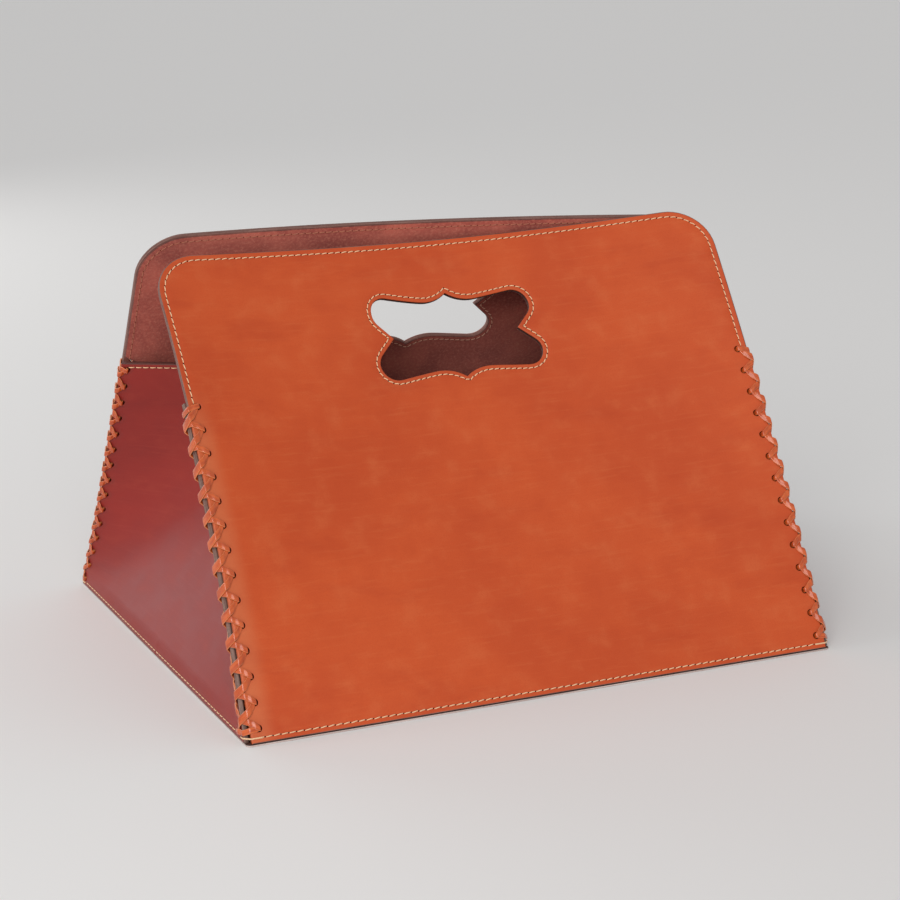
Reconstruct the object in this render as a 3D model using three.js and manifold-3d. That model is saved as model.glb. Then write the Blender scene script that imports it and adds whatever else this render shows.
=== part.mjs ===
// Magazine basket in stiff saddle leather: two leaning panels, laced at both ends to folded gussets,
// on a flat leather base. Millimetres, +Z up, origin on the floor under the centre of the base,
// front towards -Y, +X to the right.
import * as THREE from "three";
import { mergeVertices } from "three/addons/utils/BufferGeometryUtils.js";
import Module from "manifold-3d";

const wasm = await Module();
wasm.setup();

// Overall size
const BASE_WIDTH = 417; // each panel's foot, from side edge to side edge
const BASE_DEPTH = 369.7; // between the outer faces of the two panels' feet
const PANEL_HEIGHT = 332; // along the leather, from foot to top edge
const TOP_NARROWING = 1.4; // how far each side edge comes in at the top
const TOP_CORNER_RADIUS = 29;

// Leather
const LEATHER = 3.2;
const LINING = 0.6;
const FIT = 0.3; // between pieces that touch
const GUSSET_LINING_FIT = 0.5; // wider, for the creases
const LINING_MARGIN = 2.5; // from the leather's cut edge to the lining's
const LACED_MARGIN = 15; // strip beside a laced edge that the lining leaves bare
const LINING_OVERLAP = 1; // how far the lining reaches into that strip

// How much more each panel leans than the mean, in degrees: a bowed sheet leans more in some places
const FRONT_FOOT = { left: -10.8, middle: 2.7, right: -5.6 };
const FRONT_TOP = { left: 11.5, middle: 2.9, right: 3.6 };
const BACK_FOOT = { left: -0.8, middle: 7.1, right: 9.8 };
const BACK_TOP = { left: -4.1, middle: -11, right: -7.7 };
const STRAIGHT = 1e-6; // a bend in radians too small to count

// Base, from the floor up
const SOLE_THICKNESS = 1.6;
const SOLE_SETBACK = 0.4; // from the outer faces
const TRAY_THICKNESS = 1.6;
const TRAY_RIM_HEIGHT = 5; // upturned rim behind each gusset, above the sole
const BOARD_THICKNESS = 3;
const BASE_LINER_THICKNESS = 0.8;
const FLANGE_THICKNESS = 1.6; // upturned edge of the base behind each panel
const FLANGE_HEIGHT = 13; // along the panel
const BASE_CLEARANCE = 0.5; // round the board and the tray
const BASE_NOTCH = 18; // off each corner of the inner layers, clear of the lacing

// Gussets
const FRONT_GUSSET_DROP = 108; // from a panel's top edge down to the gussets', along the leather
const BACK_GUSSET_DROP = 103;
const CORNER_GAP = 0.5; // between a panel's edge and a gusset's
const FOLD_DEPTH = 80; // how far the fold comes in at the gusset's top edge
const FOLD_START = 8; // the flat sewn band under the fold
const FOLD_CREASE_TOP_SHARE = 1.5; // exponent of the fold's section: low is sharp, high is a flat trough
const FOLD_CREASE_FOOT_SHARE = 6;
const FOLD_CREASE_EASE_SHARE = 2.2;

// Hand cut-out, measured from its centre
const CUT_OUT_DROP = 71.3; // from the top edge down to the centre, along the leather
const CUSP_HEIGHT = 31.6;
const CUSP_SOFTNESS = 8;
const WAIST_OUT = 18;
const WAIST_HEIGHT = 25.7;
const LOBE_OUT = 50.5;
const LOBE_HEIGHT = 18.8;
const LOBE_RADIUS = 11.5;
const LOBE_START = 100; // degrees round the lobe
const LOBE_END = -44;
const PINCH_OUT = 48.2;
const UPPER_LEFT_SHARE = 0.93; // how far the left lobes reach, against the right ones
const LOWER_LEFT_SHARE = 0.98;

// Lacing
const LACE_WIDTH = 3.4;
const LACE_THICKNESS = 0.8;
const LACE_FIT = 0.43; // between the lace and the leather
const LACE_SPACING = 1.9; // between the two passes through one hole
const LACE_PITCH = 16.2;
const LACE_PINCH_SHARE = 0.76; // of its width that the lace keeps inside a hole
const FRONT_HOLE_TOP = 219.6; // the panel's first and last holes, up from the foot
const FRONT_HOLE_FOOT = 9.2;
const BACK_HOLE_TOP = 227.5;
const BACK_HOLE_FOOT = 10.5;
const FRONT_HOLE_DROP_TOP = 5; // how much lower than the panel's holes the gusset's lie
const FRONT_HOLE_DROP_FOOT = 2.2;
const BACK_HOLE_DROP_TOP = 3.8;
const BACK_HOLE_DROP_FOOT = 2;
const LACED_TOP_MARGIN = 4.4; // of bare leather above the panel's first hole
const LACE_TAIL = 5;
const HOLE_DIAMETER = 6; // across its corners
const HOLE_SIDES = 6;
const PANEL_HOLE_INSET = 8;
const GUSSET_HOLE_INSET = 7.8;
const PANEL_CORNER_SHARE = 0.42; // of a crossing's rise, reached at the panel's edge
const GUSSET_CORNER_SHARE = 0.6; // and at the gusset's edge
const WRAP_LANE_SHARE = 0.6; // how far out a lace that changes lanes lies at the panel's edge
const LACE_STOPS = 6; // bends of the lace in one turn

// Sewing thread
const THREAD_WIDTH = 1;
const THREAD_HEIGHT = 0.6;
const THREAD_LIFT = 0.6; // over the leather
const EDGE_THREAD_INSET = 4.2;
const CUT_OUT_THREAD_INSET = 3;
const FOOT_THREAD_HEIGHT = 5;
const FOOT_THREAD_INSET = 3;
const GUSSET_TOP_THREAD_DROP = 4.5;
const GUSSET_FOOT_THREAD_HEIGHT = 3.2;
const GUSSET_THREAD_MARGIN = 14; // from the laced edge to the end of the thread
const EDGE_THREAD_START = 3.4; // above the panel's first hole

// Where the sheets are creased into facets, as shares of their size
const PANEL_COLUMN_SHARES = [0, 0.25, 0.5, 0.72];
const PANEL_ROW_SHARES = [0.2, 0.36, 0.52, 0.68, 0.84, 1];
const GUSSET_COLUMN_SHARES = [0, 0.15, 0.4, 0.6, 0.75, 0.85, 0.91, 0.955, 1];
const LINING_REACH_SHARE = 0.85; // how far each way from the fold a gusset's lining reaches
const GUSSET_ROW_SHARES = [0.08, 0.14, 0.24, 0.38, 0.53, 0.68, 0.8, 0.9, 1];
const CORNER_STEPS = 3;
const CURVE_STEPS = 3;

// Tools and probes
const CUT_LENGTH = 60;
const HOLE_CUT_LENGTH = 12;
const PROBE_SHARE = 0.004; // step for measuring a direction on a gusset
const PROBE_SHARES = [0, 1 / 3, 2 / 3]; // places along each stretch of lace where its gap is measured
const STRETCHES_APART = 4; // between places on a lace that are compared

// Values worked out from the sizes above
const HALF_WIDTH = BASE_WIDTH / 2;
const HALF_DEPTH = BASE_DEPTH / 2;
const WALL = LEATHER + FIT + LINING;
const FOOT_Z = SOLE_THICKNESS + FIT;
const MEAN_LEAN = Math.asin((HALF_DEPTH - WALL) / PANEL_HEIGHT); // the top edges would meet, were no panel bowed
const GUSSET_HEIGHT = PANEL_HEIGHT - (FRONT_GUSSET_DROP + BACK_GUSSET_DROP) / 2;
const CUT_OUT_S = PANEL_HEIGHT - CUT_OUT_DROP;
const LACE_LIFT = LACE_FIT + LACE_THICKNESS / 2;

const FRONT = {
  name: "front",
  facing: -1,
  foot: FRONT_FOOT,
  top: FRONT_TOP,
  gussetHeight: PANEL_HEIGHT - FRONT_GUSSET_DROP,
  holes: { top: FRONT_HOLE_TOP, foot: FRONT_HOLE_FOOT },
  drops: { top: FRONT_HOLE_DROP_TOP, foot: FRONT_HOLE_DROP_FOOT },
};
const BACK = {
  name: "back",
  facing: 1,
  foot: BACK_FOOT,
  top: BACK_TOP,
  gussetHeight: PANEL_HEIGHT - BACK_GUSSET_DROP,
  holes: { top: BACK_HOLE_TOP, foot: BACK_HOLE_FOOT },
  drops: { top: BACK_HOLE_DROP_TOP, foot: BACK_HOLE_DROP_FOOT },
};
const LEFT = { name: "left", side: -1 };
const RIGHT = { name: "right", side: 1 };

// Materials
const leather = (color, roughness) => new THREE.MeshStandardMaterial({ color, roughness, metalness: 0 });
const panelLeather = leather(0xc4552b, 0.45);
const gussetLeather = leather(0x97352f, 0.42);
const suede = leather(0x6b3229, 0.9);
const laceLeather = leather(0xd06a35, 0.35);
const soleLeather = leather(0x3a241d, 0.7);
const board = leather(0x8b7a63, 0.95);
const thread = leather(0xeccb9c, 0.8);

const group = new THREE.Group();

function add(name, geometry, material) {
  const mesh = new THREE.Mesh(geometry, material);
  mesh.name = name;
  group.add(mesh);
}

// Solids and cuts
function welded(geometry) {
  const bare = geometry.clone();
  bare.deleteAttribute("normal");
  bare.deleteAttribute("uv");
  return mergeVertices(bare);
}

function toSolid(geometry) {
  const merged = welded(geometry);
  return new wasm.Manifold(
    new wasm.Mesh({
      numProp: 3,
      vertProperties: merged.attributes.position.array,
      triVerts: new Uint32Array(merged.index.array),
    }),
  );
}

function toGeometry(solid) {
  const mesh = solid.getMesh();
  const geometry = new THREE.BufferGeometry();
  geometry.setAttribute("position", new THREE.BufferAttribute(mesh.vertProperties, 3));
  geometry.setIndex(new THREE.BufferAttribute(mesh.triVerts, 1));
  geometry.computeVertexNormals();
  return geometry;
}

function cut(geometry, tools) {
  return toGeometry(tools.reduce((solid, tool) => solid.subtract(toSolid(tool)), toSolid(geometry)));
}

// A closed geometry from points and triangles, turned so that its faces point out
function closedGeometry(points, triangles) {
  const volume = triangles.reduce((sum, [a, b, c]) => {
    const across = new THREE.Vector3().crossVectors(points[b], points[c]);
    return sum + points[a].dot(across);
  }, 0);
  const faces = volume < 0 ? triangles.map(([a, b, c]) => [a, c, b]) : triangles;
  const geometry = new THREE.BufferGeometry().setFromPoints(points);
  geometry.setIndex(faces.flat());
  geometry.computeVertexNormals();
  return geometry;
}

// A sheet with two faces of rows by columns points, closed round its rim
function closedSheet(rows, columns, pointAt) {
  const points = [];
  for (const face of [0, 1])
    for (let row = 0; row < rows; row++)
      for (let column = 0; column < columns; column++) points.push(pointAt(row, column, face));
  const index = (row, column, face) => (face * rows + row) * columns + column;
  const triangles = [];
  for (let row = 0; row < rows - 1; row++)
    for (let column = 0; column < columns - 1; column++)
      for (const face of [0, 1]) {
        const here = index(row, column, face);
        const beside = index(row, column + 1, face);
        const opposite = index(row + 1, column + 1, face);
        const above = index(row + 1, column, face);
        if (face) triangles.push([here, opposite, beside], [here, above, opposite]);
        else triangles.push([here, beside, opposite], [here, opposite, above]);
      }
  const rim = [];
  for (let column = 0; column < columns - 1; column++) rim.push([0, column]);
  for (let row = 0; row < rows - 1; row++) rim.push([row, columns - 1]);
  for (let column = columns - 1; column > 0; column--) rim.push([rows - 1, column]);
  for (let row = rows - 1; row > 0; row--) rim.push([row, 0]);
  rim.forEach(([row, column], i) => {
    const [nextRow, nextColumn] = rim[(i + 1) % rim.length];
    const opposite = index(nextRow, nextColumn, 0);
    triangles.push([index(row, column, 1), index(nextRow, nextColumn, 1), opposite]);
    triangles.push([index(row, column, 1), opposite, index(row, column, 0)]);
  });
  return closedGeometry(points, triangles);
}

// A bar that joins rings of like corners, closed at its ends or on itself
function closedBar(rings, looped) {
  const size = rings[0].length;
  const triangles = [];
  const last = looped ? rings.length : rings.length - 1;
  for (let i = 0; i < last; i++)
    for (let k = 0; k < size; k++) {
      const a = i * size + k;
      const b = i * size + ((k + 1) % size);
      const shift = (((i + 1) % rings.length) - i) * size;
      triangles.push([a, b, b + shift], [a, b + shift, a + shift]);
    }
  const end = (rings.length - 1) * size;
  for (let k = 1; k < size - 1 && !looped; k++) triangles.push([0, k + 1, k], [end, end + k, end + k + 1]);
  return closedGeometry(rings.flat(), triangles);
}

// The panels' curved faces: x across, s up along the leather from the foot
function across({ left, middle, right }, share) {
  return (left * share * (share - 1)) / 2 + middle * (1 - share * share) + (right * share * (share + 1)) / 2;
}

function halfWidthAt(s) {
  return HALF_WIDTH - (TOP_NARROWING * s) / PANEL_HEIGHT;
}

function footLean(panel, share) {
  return MEAN_LEAN + THREE.MathUtils.degToRad(across(panel.foot, share));
}

function profile(panel, x, s) {
  const share = x / halfWidthAt(s);
  const foot = footLean(panel, share);
  const top = MEAN_LEAN + THREE.MathUtils.degToRad(across(panel.top, share));
  const bend = (top - foot) / PANEL_HEIGHT;
  const lean = foot + bend * s;
  if (Math.abs(top - foot) < STRAIGHT) return { lean, inward: s * Math.sin(foot), rise: s * Math.cos(foot) };
  return {
    lean,
    inward: (Math.cos(foot) - Math.cos(lean)) / bend,
    rise: (Math.sin(lean) - Math.sin(foot)) / bend,
  };
}

function panelInward(panel, x, s) {
  const { lean } = profile(panel, x, s);
  return new THREE.Vector3(0, -panel.facing * Math.cos(lean), -Math.sin(lean));
}

function panelUp(panel, x, s) {
  const { lean } = profile(panel, x, s);
  return new THREE.Vector3(0, -panel.facing * Math.sin(lean), Math.cos(lean));
}

function panelPoint(panel, x, s, depth) {
  const { inward, rise } = profile(panel, x, s);
  const face = new THREE.Vector3(x, panel.facing * (HALF_DEPTH - inward), FOOT_Z + rise);
  return face.addScaledVector(panelInward(panel, x, s), depth);
}

// The slant at which a point that lies deep in the wall is level with the foot
function footSlant(panel, x, depth) {
  return depth * Math.tan(footLean(panel, x / HALF_WIDTH));
}

// Rows of a panel sheet: the height and half width of each, with the top corners rounded
function panelRows(panel, margin) {
  const lacedTop = panel.holes.top + LACED_TOP_MARGIN;
  const heights = [0, FLANGE_HEIGHT, ...PANEL_ROW_SHARES.map((share) => share * lacedTop)];
  const rows = heights.map((s) => ({ s, laced: true }));
  rows.push({ s: lacedTop + LACED_TOP_MARGIN, laced: false });
  const cornerS = PANEL_HEIGHT - TOP_CORNER_RADIUS;
  rows.push({ s: (lacedTop + cornerS) / 2, laced: false });
  const radius = TOP_CORNER_RADIUS - margin;
  for (let step = 0; step <= CORNER_STEPS; step++) {
    const angle = (Math.PI / 2) * (step / CORNER_STEPS);
    rows.push({
      s: cornerS + radius * Math.sin(angle),
      laced: false,
      rounding: TOP_CORNER_RADIUS - radius * Math.cos(angle) - margin,
    });
  }
  return rows;
}

function panelColumns(row, edgeMargin) {
  const edge = halfWidthAt(row.s) - edgeMargin - (row.rounding ?? 0);
  const inner = halfWidthAt(row.s) - LACED_MARGIN - (row.rounding ?? 0);
  const half = PANEL_COLUMN_SHARES.map((share) => share * inner).concat([inner, edge]);
  return half.slice(1).reverse().map((x) => -x).concat(half);
}

function panelSheet(panel, outerDepth, thickness, margin) {
  const rows = panelRows(panel, margin);
  const columnsOf = rows.map((row) => {
    const edgeMargin = row.laced && margin > 0 ? LACED_MARGIN - LINING_OVERLAP : margin;
    return panelColumns(row, edgeMargin);
  });
  return closedSheet(rows.length, columnsOf[0].length, (row, column, face) => {
    const x = columnsOf[row][column];
    const depth = outerDepth + (face ? thickness : 0);
    const point = panelPoint(panel, x, Math.max(rows[row].s, footSlant(panel, x, depth)), depth);
    if (row === 0) point.z = FOOT_Z;
    return point;
  });
}

// The hand cut-out: a quarter of its outline, then the whole of it, and the tool that cuts it
function cutOutQuarter() {
  const start = THREE.MathUtils.degToRad(LOBE_START);
  const lobeX = LOBE_OUT + LOBE_RADIUS * Math.cos(start);
  const lobeY = LOBE_HEIGHT + LOBE_RADIUS * Math.sin(start);
  const back = (lobeY - WAIST_HEIGHT) / Math.tan(start - Math.PI / 2);
  const path = new THREE.Path();
  path.moveTo(0, CUSP_HEIGHT);
  path.quadraticCurveTo(CUSP_SOFTNESS, WAIST_HEIGHT, WAIST_OUT, WAIST_HEIGHT);
  path.quadraticCurveTo(lobeX - back, WAIST_HEIGHT, lobeX, lobeY);
  path.absarc(LOBE_OUT, LOBE_HEIGHT, LOBE_RADIUS, start, THREE.MathUtils.degToRad(LOBE_END), true);
  path.lineTo(PINCH_OUT, 0);
  return path.getPoints(CURVE_STEPS);
}

function withLeftReach(point) {
  if (point.x >= 0) return point;
  const rise = THREE.MathUtils.clamp(point.y / LOBE_HEIGHT, -1, 1);
  const share = (UPPER_LEFT_SHARE + LOWER_LEFT_SHARE + (UPPER_LEFT_SHARE - LOWER_LEFT_SHARE) * rise) / 2;
  return new THREE.Vector2(point.x * share, point.y);
}

function cutOutOutline() {
  const quarter = cutOutQuarter();
  const mirrored = (points, x, y) => points.map((p) => new THREE.Vector2(p.x * x, p.y * y));
  const inner = quarter.slice(1, -1);
  return [
    ...quarter,
    ...mirrored(inner, 1, -1).reverse(),
    ...mirrored([quarter[0]], 1, -1),
    ...mirrored(inner, -1, -1),
    ...mirrored([quarter.at(-1)], -1, 1),
    ...mirrored(inner, -1, 1).reverse(),
  ].map(withLeftReach);
}

function cutOutTool(panel) {
  const geometry = new THREE.ExtrudeGeometry(new THREE.Shape(cutOutOutline()), {
    depth: CUT_LENGTH,
    bevelEnabled: false,
  });
  geometry.translate(0, 0, -CUT_LENGTH / 2);
  const up = panelUp(panel, 0, CUT_OUT_S);
  const right = new THREE.Vector3(1, 0, 0);
  const through = new THREE.Vector3().crossVectors(right, up);
  geometry.applyMatrix4(new THREE.Matrix4().makeBasis(right, up, through));
  const centre = panelPoint(panel, 0, CUT_OUT_S, 0);
  return geometry.translate(centre.x, centre.y, centre.z);
}

// The slants of the holes, from the top down
function laceSteps({ holes }) {
  return Math.round((holes.top - holes.foot) / LACE_PITCH);
}

function panelHoleS(panel, i) {
  const { top, foot } = panel.holes;
  return top + ((foot - top) * i) / laceSteps(panel);
}

function gussetHoleS(panel, i) {
  const { top, foot } = panel.drops;
  return panelHoleS(panel, i) - top - ((foot - top) * i) / laceSteps(panel);
}

function holeTool(centre, axis, up) {
  const radius = HOLE_DIAMETER / 2;
  const geometry = new THREE.CylinderGeometry(radius, radius, HOLE_CUT_LENGTH, HOLE_SIDES);
  const through = axis.clone().normalize();
  const side = new THREE.Vector3().crossVectors(through, up).normalize();
  const top = new THREE.Vector3().crossVectors(side, through);
  geometry.applyMatrix4(new THREE.Matrix4().makeBasis(side, through, top));
  return geometry.translate(centre.x, centre.y, centre.z);
}

function holeNumbers(panel) {
  return Array.from({ length: laceSteps(panel) + 1 }, (_, i) => i);
}

function panelHoleTools(panel) {
  return [LEFT, RIGHT].flatMap(({ side }) =>
    holeNumbers(panel).map((i) => {
      const s = panelHoleS(panel, i);
      const x = side * (halfWidthAt(s) - PANEL_HOLE_INSET);
      const centre = panelPoint(panel, x, s, LEATHER / 2);
      return holeTool(centre, panelInward(panel, x, s), panelUp(panel, x, s));
    }),
  );
}

// The gussets' folded faces: v across from -1 at the front to 1 at the back, t up from 0 to 1
function cornerSlant(panel, side, t) {
  const foot = footSlant(panel, side * HALF_WIDTH, LEATHER + CORNER_GAP);
  return foot + (panel.gussetHeight - foot) * t;
}

function cornerPoint(panel, side, t) {
  const s = cornerSlant(panel, side, t);
  return panelPoint(panel, side * (halfWidthAt(s) + CORNER_GAP), s, LEATHER + CORNER_GAP);
}

function foldDepth(t) {
  const rise = (t * GUSSET_HEIGHT - FOLD_START) / (GUSSET_HEIGHT - FOLD_START);
  return rise > 0 ? FOLD_DEPTH * Math.sin((Math.PI / 2) * rise) : 0;
}

function foldCrease(t) {
  const ease = Math.max(1 - t, 0) ** FOLD_CREASE_EASE_SHARE;
  return FOLD_CREASE_TOP_SHARE + (FOLD_CREASE_FOOT_SHARE - FOLD_CREASE_TOP_SHARE) * ease;
}

function gussetFace({ side }, v, t) {
  const point = cornerPoint(FRONT, side, t).lerp(cornerPoint(BACK, side, t), (v + 1) / 2);
  point.x -= side * foldDepth(t) * (1 - Math.abs(v) ** foldCrease(t));
  return point;
}

function gussetAlong(gusset, v, t) {
  const up = gussetFace(gusset, v, t + PROBE_SHARE);
  return up.sub(gussetFace(gusset, v, t - PROBE_SHARE)).normalize();
}

function gussetOut(gusset, v, t) {
  const along = gussetAlong(gusset, v, t);
  const backward = gussetFace(gusset, v + PROBE_SHARE, t).sub(gussetFace(gusset, v - PROBE_SHARE, t));
  const out = new THREE.Vector3().crossVectors(backward, along).normalize();
  return out.multiplyScalar(Math.sign(out.x) * gusset.side);
}

// A point on a gusset's inner face, moved out by the given distance
function gussetPoint(gusset, v, t, out) {
  return gussetFace(gusset, v, t).addScaledVector(gussetOut(gusset, v, t), out);
}

// The v of a point that lies so far from the laced edge, measured along the leather
function insetV(gusset, facing, t, inset) {
  const halfChord = cornerPoint(BACK, gusset.side, t).distanceTo(cornerPoint(FRONT, gusset.side, t)) / 2;
  const slope = (foldCrease(t) * foldDepth(t)) / halfChord;
  return facing * (1 - inset / (halfChord * Math.hypot(1, slope)));
}

function gussetShare(panel, side, s) {
  const foot = cornerSlant(panel, side, 0);
  return (s - foot) / (panel.gussetHeight - foot);
}

function gussetSheet(gusset, outerFace, thickness, reachShare, margin) {
  const half = GUSSET_COLUMN_SHARES.filter((share) => share <= reachShare);
  const columns = half.slice(1).reverse().map((v) => -v).concat(half);
  const top = 1 - margin / GUSSET_HEIGHT;
  const rows = [0, FOLD_START / GUSSET_HEIGHT, ...GUSSET_ROW_SHARES].map((share) => share * top);
  return closedSheet(rows.length, columns.length, (row, column, face) => {
    const point = gussetPoint(gusset, columns[column], rows[row], outerFace - (face ? thickness : 0));
    if (row === 0) point.z = FOOT_Z;
    return point;
  });
}

function gussetHoleTools(gusset) {
  return [FRONT, BACK].flatMap((panel) =>
    holeNumbers(panel).map((i) => {
      const t = gussetShare(panel, gusset.side, gussetHoleS(panel, i));
      const v = insetV(gusset, panel.facing, t, GUSSET_HOLE_INSET);
      const centre = gussetPoint(gusset, v, t, LEATHER / 2);
      return holeTool(centre, gussetOut(gusset, v, t), gussetAlong(gusset, v, t));
    }),
  );
}

// One turn of lace: out through a panel hole, round the corner and in through a gusset hole
function laceTurn(panel, gusset, panelHole, gussetHole, lanes) {
  const { side } = gusset;
  const from = panelHoleS(panel, panelHole);
  const to = gussetHoleS(panel, gussetHole);
  const run = PANEL_HOLE_INSET + LEATHER + GUSSET_HOLE_INSET;
  const slanted = (LACE_WIDTH / 2) * Math.hypot(1, (to - from) / run);
  const pinched = (LACE_WIDTH / 2) * LACE_PINCH_SHARE;
  const onPanel = (s, inset, depth) => {
    const x = side * (halfWidthAt(s) - inset);
    return { point: panelPoint(panel, x, s, depth), along: panelUp(panel, x, s) };
  };
  const onGusset = (s, inset, out) => {
    const t = gussetShare(panel, side, s);
    const v = insetV(gusset, panel.facing, t, inset);
    return { point: gussetPoint(gusset, v, t, out), along: gussetAlong(gusset, v, t) };
  };
  const panelInset = PANEL_HOLE_INSET - LACE_SPACING / 2;
  const gussetInset = GUSSET_HOLE_INSET - LACE_SPACING / 2;
  const panelCorner = from + (to - from) * PANEL_CORNER_SHARE;
  const gussetCorner = from + (to - from) * GUSSET_CORNER_SHARE;
  const stops = [
    { ...onPanel(from, panelInset, LEATHER + LACE_LIFT), half: pinched },
    { ...onPanel(from, panelInset, -LACE_LIFT), half: pinched },
    { ...onPanel(panelCorner, -LACE_LIFT, -LACE_LIFT), half: slanted },
    { ...onGusset(gussetCorner, -LACE_LIFT, LEATHER + LACE_LIFT), half: slanted },
    { ...onGusset(to, gussetInset, LEATHER + LACE_LIFT), half: pinched },
    { ...onGusset(to, gussetInset, -LACE_LIFT), half: pinched },
  ];
  return stops.map((stop, i) => ({ ...stop, lane: lanes[i] }));
}

// A whole lace: down the corner in the outer lane, then up again in the inner one
function lacePath(panel, gusset) {
  const outer = Array(LACE_STOPS).fill(1);
  const inner = Array(LACE_STOPS).fill(0);
  const inward = [1, 1, WRAP_LANE_SHARE, 0, 0, 0];
  const outward = [0, 0, 1 - WRAP_LANE_SHARE, 1, 1, 1];
  const steps = laceSteps(panel);
  const path = [];
  for (let i = 0; i < steps; i++) path.push(...laceTurn(panel, gusset, i, i + 1, outer));
  path.push(...laceTurn(panel, gusset, steps, steps, inward));
  for (let i = steps; i > 0; i--) path.push(...laceTurn(panel, gusset, i, i - 1, inner));
  path.push(...laceTurn(panel, gusset, 0, 0, outward));
  const [first, last] = [path.shift(), path.pop()];
  const headAt = (inset) => {
    const x = gusset.side * (halfWidthAt(panel.holes.top) - inset);
    const point = panelPoint(panel, x, panel.holes.top, LEATHER + LACE_LIFT + LACE_SPACING);
    return { ...first, point };
  };
  const panelInset = PANEL_HOLE_INSET - LACE_SPACING / 2;
  const t = gussetShare(panel, gusset.side, gussetHoleS(panel, 0));
  const v = insetV(gusset, panel.facing, t, GUSSET_HOLE_INSET - LACE_SPACING / 2);
  const end = { ...last, point: gussetPoint(gusset, v, t, -LACE_FIT) };
  return [headAt(panelInset + LACE_TAIL), headAt(panelInset), ...path, end];
}

// Rings of a flat strap along a path, with mitred bends; each lane lies one spacing further out
function strapRings(path, handedness) {
  return path.map(({ point, along, half, lane }, i) => {
    const sideways = [path[i - 1], path[i + 1]].map((other, ahead) => {
      if (!other) return null;
      const direction = ahead ? other.point.clone().sub(point) : point.clone().sub(other.point);
      return new THREE.Vector3().crossVectors(along, direction).normalize().multiplyScalar(handedness);
    });
    const before = sideways[0] ?? sideways[1];
    const after = sideways[1] ?? sideways[0];
    const mitre = before.clone().add(after).divideScalar(1 + before.dot(after));
    const corner = (out, up) =>
      point
        .clone()
        .addScaledVector(mitre, lane * LACE_SPACING + (out * LACE_THICKNESS) / 2)
        .addScaledVector(along, up * half);
    return [corner(1, -1), corner(1, 1), corner(-1, 1), corner(-1, -1)];
  });
}

// The least distance between points of one strap that are a few stretches apart along it
function leastGap(rings) {
  const samples = rings.slice(1).map((ring, i) =>
    ring.flatMap((corner, k) => {
      const before = rings[i][k];
      return PROBE_SHARES.map((share) => corner.clone().lerp(before, share));
    }),
  );
  let least = Infinity;
  samples.forEach((here, i) =>
    samples.slice(i + STRETCHES_APART).forEach((there) =>
      here.forEach((a) =>
        there.forEach((b) => {
          least = Math.min(least, a.distanceTo(b));
        }),
      ),
    ),
  );
  return least;
}

function addLace(panel, gusset) {
  const path = lacePath(panel, gusset);
  const rings = strapRings(path, gusset.side * panel.facing);
  add(`${panel.name}_${gusset.name}_lace`, closedBar(rings, false), laceLeather);
  console.log(`${panel.name} ${gusset.name} lace: least gap to itself ${leastGap(rings).toFixed(2)} mm`);
}

// Thread laid on the leather: a three-sided bar along points with their outward directions
function threadBar(stops, looped) {
  const count = stops.length;
  const rings = stops.map(({ point, out }, i) => {
    const before = stops[looped ? (i + count - 1) % count : Math.max(i - 1, 0)].point;
    const after = stops[looped ? (i + 1) % count : Math.min(i + 1, count - 1)].point;
    const side = new THREE.Vector3().crossVectors(after.clone().sub(before), out).normalize();
    const foot = point.clone().addScaledVector(out, THREAD_LIFT);
    return [
      foot.clone().addScaledVector(side, THREAD_WIDTH / 2),
      foot.clone().addScaledVector(out, THREAD_HEIGHT),
      foot.clone().addScaledVector(side, -THREAD_WIDTH / 2),
    ];
  });
  return closedBar(rings, looped);
}

function panelStop(panel, x, s) {
  return { point: panelPoint(panel, x, s, 0), out: panelInward(panel, x, s).negate() };
}

function edgeThread(panel) {
  const start = panel.holes.top + EDGE_THREAD_START;
  const half = panelRows(panel, EDGE_THREAD_INSET)
    .filter((row) => row.s > start && !row.laced)
    .map((row) => ({ s: row.s, x: halfWidthAt(row.s) - EDGE_THREAD_INSET - (row.rounding ?? 0) }));
  half.unshift({ s: start, x: halfWidthAt(start) - EDGE_THREAD_INSET });
  const topX = half.at(-1).x;
  const top = PANEL_COLUMN_SHARES.slice(1).reverse().map((share) => ({ s: half.at(-1).s, x: share * topX }));
  const right = [...half, ...top];
  const middle = { s: half.at(-1).s, x: 0 };
  const left = right.map(({ s, x }) => ({ s, x: -x })).reverse();
  return threadBar([...right, middle, ...left].map(({ s, x }) => panelStop(panel, x, s)), false);
}

// The cut-out's outline moved out by the thread's inset, with mitred corners
function cutOutThread(panel) {
  const outline = cutOutOutline();
  const count = outline.length;
  const moved = outline.map((point, i) => {
    const before = point.clone().sub(outline[(i + count - 1) % count]).normalize();
    const after = outline[(i + 1) % count].clone().sub(point).normalize();
    const outBefore = new THREE.Vector2(-before.y, before.x);
    const outAfter = new THREE.Vector2(-after.y, after.x);
    const mitre = outBefore.clone().add(outAfter).divideScalar(1 + outBefore.dot(outAfter));
    return point.clone().addScaledVector(mitre, CUT_OUT_THREAD_INSET);
  });
  return threadBar(moved.map(({ x, y }) => panelStop(panel, x, CUT_OUT_S + y)), true);
}

function footThread(panel) {
  const end = halfWidthAt(FOOT_THREAD_HEIGHT) - FOOT_THREAD_INSET;
  const half = PANEL_COLUMN_SHARES.concat(1).map((share) => share * end);
  const xs = half.slice(1).reverse().map((x) => -x).concat(half);
  return threadBar(xs.map((x) => panelStop(panel, x, FOOT_THREAD_HEIGHT)), false);
}

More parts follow.
